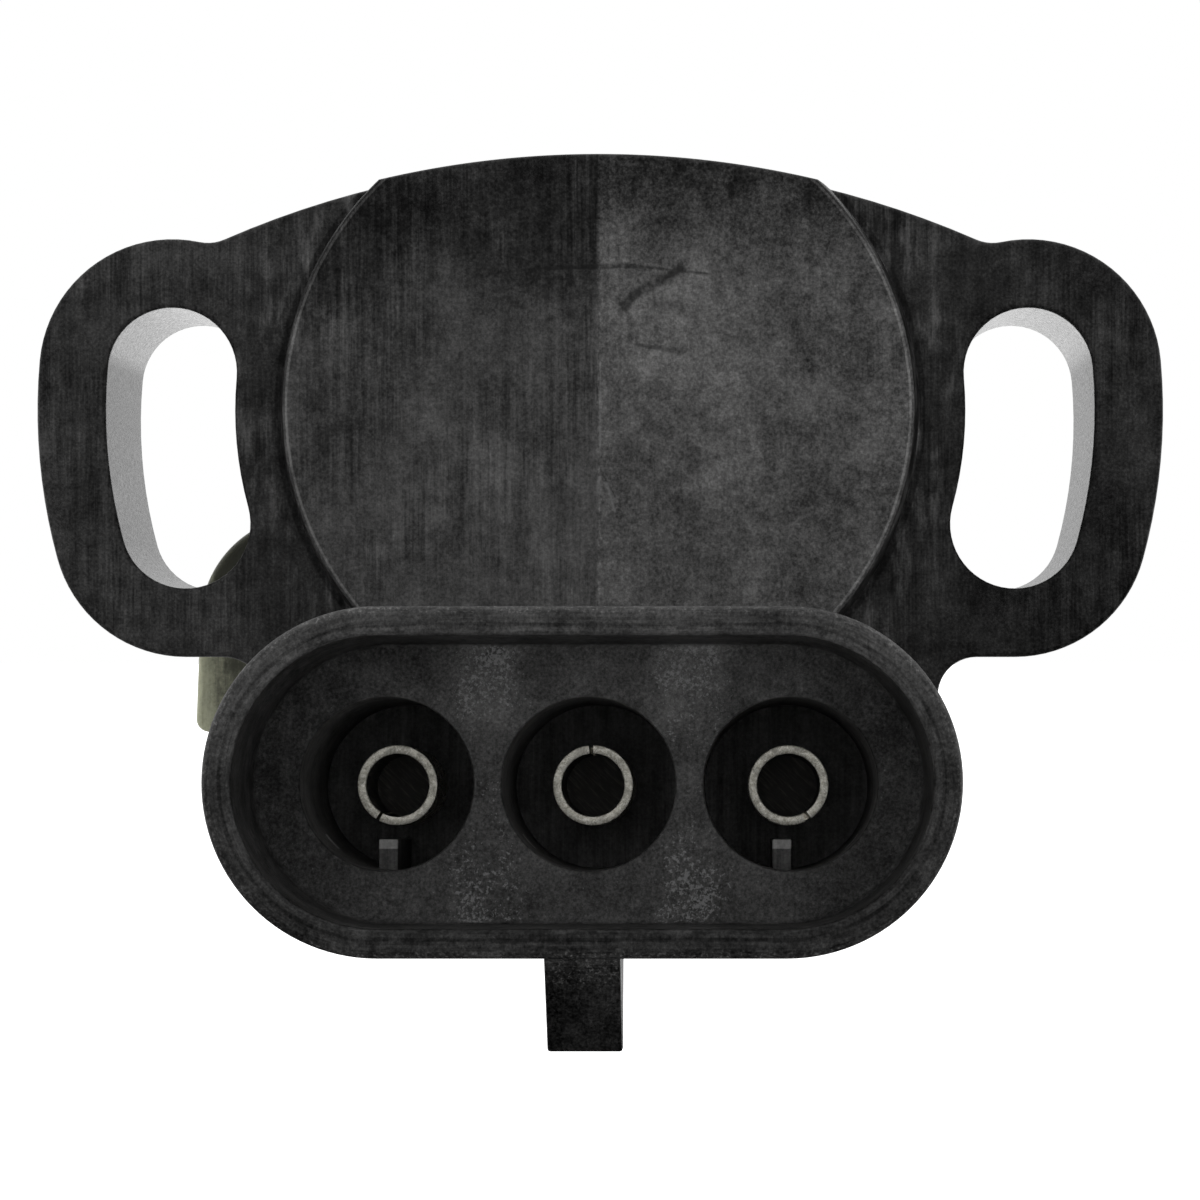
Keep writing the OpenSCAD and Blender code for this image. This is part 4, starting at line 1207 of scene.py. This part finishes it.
def spring_path(settings):
    """Points of the spring's wire: moving leg, coil and fixed leg, in millimetres."""
    wire = settings.wire / MM
    coil, leg_turn, start = SPRING_INSIDE + wire / 2, SPRING_LEG_TURN, SPRING_START
    front, back = SPRING_FRONT + wire / 2, SPRING_BACK - wire / 2

    def polar(radius, angle, y):
        return Vector((radius * math.cos(math.radians(angle)), y, radius * math.sin(math.radians(angle))))

    def leg(tip, y, turn):
        return [polar(coil + SPRING_LEG * (1 - k / 10) ** 2, tip + turn * (k / 10) ** 3, y)
                for k in range(10)]

    turn_all = 360 * settings.turns
    steps = 250
    begin = start - leg_turn
    shares = [i / steps for i in range(steps + 1)]
    middle = [polar(coil, begin - turn_all * k, front + (back - front) * k) for k in shares]
    fixed = leg(start - 2 * leg_turn - turn_all, back, leg_turn)[::-1]
    return leg(start, front, -leg_turn) + middle + fixed


class SensorSpring(bpy.types.Operator):
    """Sweeps the torsion spring's wire along its legs and coil"""
    bl_idname = "sensor.spring"
    bl_label = "Spring"

    def execute(self, context):
        settings = context.scene.sensor_spring
        material = metal("spring_wire", grey(0.45), grey(0.22), 0.35)
        points = [p * MM for p in spring_path(settings)]
        mesh = bpy.data.meshes.new("coiled_spring")
        mesh.from_pydata(points, [(i, i + 1) for i in range(len(points) - 1)], [])
        spring = new_object("coiled_spring", mesh)
        run_tree(spring, wire_tree(material), {"Wire radius": settings.wire / 2, "Sides": 16})
        smooth(spring, 50)
        finish_piece(spring, material, "sensor_body", "spring_steel", "return_spring")
        return {"FINISHED"}


class SensorCover(bpy.types.Operator):
    """Rounds the back cover's edges and finishes it with its gasket and the shaft's seal"""
    bl_idname = "sensor.cover"
    bl_label = "Back cover"

    def execute(self, context):
        cover = softened_copy("back_cover", "rear_cover", 0.1)
        finish_piece(cover, plain_moulding("cover_moulding", 0.15),
                     "sensor_body", "cover_plastic", "back_cover")
        dress("cover_seal", soft_material("gasket_rubber", (0.16, 0.05, 0.03), 0.7))
        dress("shaft_seal", soft_material("seal_rubber", (0.014, 0.014, 0.014), 0.5))
        return {"FINISHED"}


def turned_about(points, angle):
    c, s = math.cos(math.radians(angle)), math.sin(math.radians(angle))
    return [(x * c - z * s, x * s + z * c) for x, z in points]


def shaft_hole(gap=SEAT_GAP):
    """Outline of the flat-sided hole, anticlockwise."""
    r, flat = SHAFT_RADIUS + gap, SHAFT_FLAT + gap
    half = math.degrees(math.acos(flat / r))
    return turned_about(tidy_loop(arc((0, 0), r, half, 360 - half)), LEVER_ANGLE)


def make_blade(bm, edge):
    """The lever's arm at rest, whose outline runs round some circles."""
    points = [p for centre, r in LEVER_CIRCLES for p in circle_loop(r, centre, 180)]
    rounded_slab(bm, hull_loop(points), [shaft_hole()], ARM_FRONT, ARM_BACK, edge, edge)


def make_hub(bm, edge):
    outline = circle_loop(HUB_RADIUS, count=144)
    rounded_slab(bm, outline, [shaft_hole()], HUB_FRONT, ARM_BACK - 0.002, edge, edge)


class SensorLever(bpy.types.Operator):
    """Builds the pale nylon lever with its hub and flat-sided hole"""
    bl_idname = "sensor.lever"
    bl_label = "Lever"

    def execute(self, context):
        settings = context.scene.sensor_lever
        edge = settings.edge_round / MM
        lever = built("nylon_lever", make_blade, edge)
        combine(lever, "UNION", [built("hub", make_hub, 0.15)])
        lever.name = lever.data.name = "nylon_lever"
        smooth(lever)
        finish_piece(lever, nylon_material(settings), "rotor_and_lever", "lever_nylon", "lever")
        return {"FINISHED"}


class SensorRetainer(bpy.types.Operator):
    """Builds the push-on washer that keeps the lever on its shaft"""
    bl_idname = "sensor.retainer"
    bl_label = "Retainer"

    def execute(self, context):
        material = metal("retainer_steel", grey(0.42, 0.02), grey(0.2, 0.04), 0.5)
        washer = softened_copy("lever_retainer", "push_on_washer", 0.05)
        finish_piece(washer, material, "rotor_and_lever", "retainer_steel", "lever_retainer")
        return {"FINISHED"}


# Stage


def floor_material():
    """Pale floor, white to the camera and to mirrors that look back, which keeps the object's shadow."""
    material = bpy.data.materials.new("pale_floor")
    material.use_nodes = True
    tree = material.node_tree
    tree.nodes.clear()
    path = node(tree, "ShaderNodeLightPath").outputs
    x, y, z = split_place(tree, node(tree, "ShaderNodeTexCoord").outputs["Object"])
    mirrored = Value(tree, path["Is Glossy Ray"])
    front = mirrored * y.step(0.1, -0.02)
    seen = mirrored.do("MAXIMUM", path["Is Camera Ray"]).do("MAXIMUM", path["Is Transmission Ray"]) - front
    level = (1.0 - front) * 0.8
    grey_level = node(tree, "ShaderNodeCombineXYZ", {0: level, 1: level, 2: level}).outputs[0]
    matt = node(tree, "ShaderNodeBsdfDiffuse", {"Color": grey_level})
    glow = node(tree, "ShaderNodeEmission", {"Color": grey(1.0), "Strength": seen})
    both = node(tree, "ShaderNodeAddShader", {0: matt.outputs[0], 1: glow.outputs[0]}).outputs[0]
    node(tree, "ShaderNodeOutputMaterial", {"Surface": both})
    return material


def light_world():
    """White to the camera. Mirrors see a white backdrop behind the object, and a dim room in front
    with a soft lamp round the camera."""
    world = bpy.data.worlds.new("studio")
    bpy.context.scene.world = world
    world.use_nodes = True
    tree = world.node_tree
    tree.nodes.clear()
    path = node(tree, "ShaderNodeLightPath").outputs
    mirror = Value(tree, path["Is Glossy Ray"]).do("MAXIMUM", path["Is Transmission Ray"])
    x, y, z = split_place(tree, node(tree, "ShaderNodeTexCoord").outputs["Generated"])
    room = z.step(-0.5, 0.5, 0.06, 0.2) + y.step(-0.93, -0.985, 0.0, 0.6)
    mirrored_level = room + y.step(-0.1, 0.3) * (1.0 - room)
    level = mirror * mirrored_level + (1.0 - mirror) * 0.9
    level = level.do("MAXIMUM", path["Is Camera Ray"])
    back = node(tree, "ShaderNodeBackground", {"Color": grey(1.0), "Strength": level}).outputs[0]
    node(tree, "ShaderNodeOutputWorld", {"Surface": back})


def area_light(name, place, aim, size, power):
    light = bpy.data.lights.new(name, "AREA")
    light.shape, light.size, light.energy = "SQUARE", size, power
    obj = new_object(name, light)
    obj.location = Vector(place)
    obj.rotation_mode = "QUATERNION"
    obj.rotation_quaternion = (Vector(aim) - Vector(place)).to_track_quat("-Z", "Y")


class SensorStage(bpy.types.Operator):
    """Builds the pale floor, the soft studio light and the camera"""
    bl_idname = "sensor.stage"
    bl_label = "Stage"

    def execute(self, context):
        settings = context.scene.sensor_stage
        bm = bmesh.new()
        bmesh.ops.create_grid(bm, x_segments=1, y_segments=1, size=3.0)
        mesh = bpy.data.meshes.new("floor")
        bm.to_mesh(mesh)
        bm.free()
        floor = new_object("floor", mesh)
        floor.location.z = settings.floor_height
        mesh.materials.append(floor_material())
        light_world()
        area_light("key_light", (0.1, -0.2, 0.36), (0, -0.01, -0.005), 0.3, settings.key_power)
        area_light("side_light", (-0.4, -0.17, 0.1), (0, -0.01, -0.005), 0.3, settings.side_power)
        camera = bpy.data.cameras.new("camera")
        camera.sensor_width = 36.0
        camera.lens = settings.lens
        camera.shift_x, camera.shift_y = -0.1025, 0.0242
        camera.clip_start, camera.clip_end = 0.01, 20.0
        obj = new_object("camera", camera)
        obj.location = Vector((4.47, -153.3, -7.96)) * MM
        obj.rotation_euler = (math.radians(90), 0, 0)
        context.scene.camera = obj
        context.scene.view_settings.view_transform = "Standard"
        return {"FINISHED"}


# Panel and start


PIECES = (SensorHousing, SensorTerminals, SensorRivets, SensorElement, SensorRotor, SensorSpring, SensorCover,
          SensorLever, SensorRetainer, SensorStage)
SETTINGS = {"sensor_housing": SensorHousingSettings, "sensor_terminals": SensorTerminalSettings,
            "sensor_spring": SensorSpringSettings, "sensor_lever": SensorLeverSettings,
            "sensor_stage": SensorStageSettings}


class SensorPanel(bpy.types.Panel):
    """Lists the sensor's settings and the button of each piece"""
    bl_idname = "VIEW3D_PT_sensor"
    bl_label = "Throttle position sensor"
    bl_space_type = "VIEW_3D"
    bl_region_type = "UI"
    bl_category = "Sensor"

    def draw(self, context):
        for name, kind in SETTINGS.items():
            part = self.layout.box()
            for field in kind.__annotations__:
                part.prop(getattr(context.scene, name), field)
        for piece in PIECES:
            self.layout.operator(piece.bl_idname)


def register():
    for kind in (*SETTINGS.values(), *PIECES, SensorPanel):
        bpy.utils.register_class(kind)
    for name, kind in SETTINGS.items():
        setattr(bpy.types.Scene, name, bpy.props.PointerProperty(type=kind))


def unregister():
    for name in SETTINGS:
        delattr(bpy.types.Scene, name)
    for kind in reversed((*SETTINGS.values(), *PIECES, SensorPanel)):
        bpy.utils.unregister_class(kind)


def main():
    register()
    for piece in PIECES:
        group, name = piece.bl_idname.split(".")
        getattr(getattr(bpy.ops, group), name)()


if __name__ == "__main__":
    main()
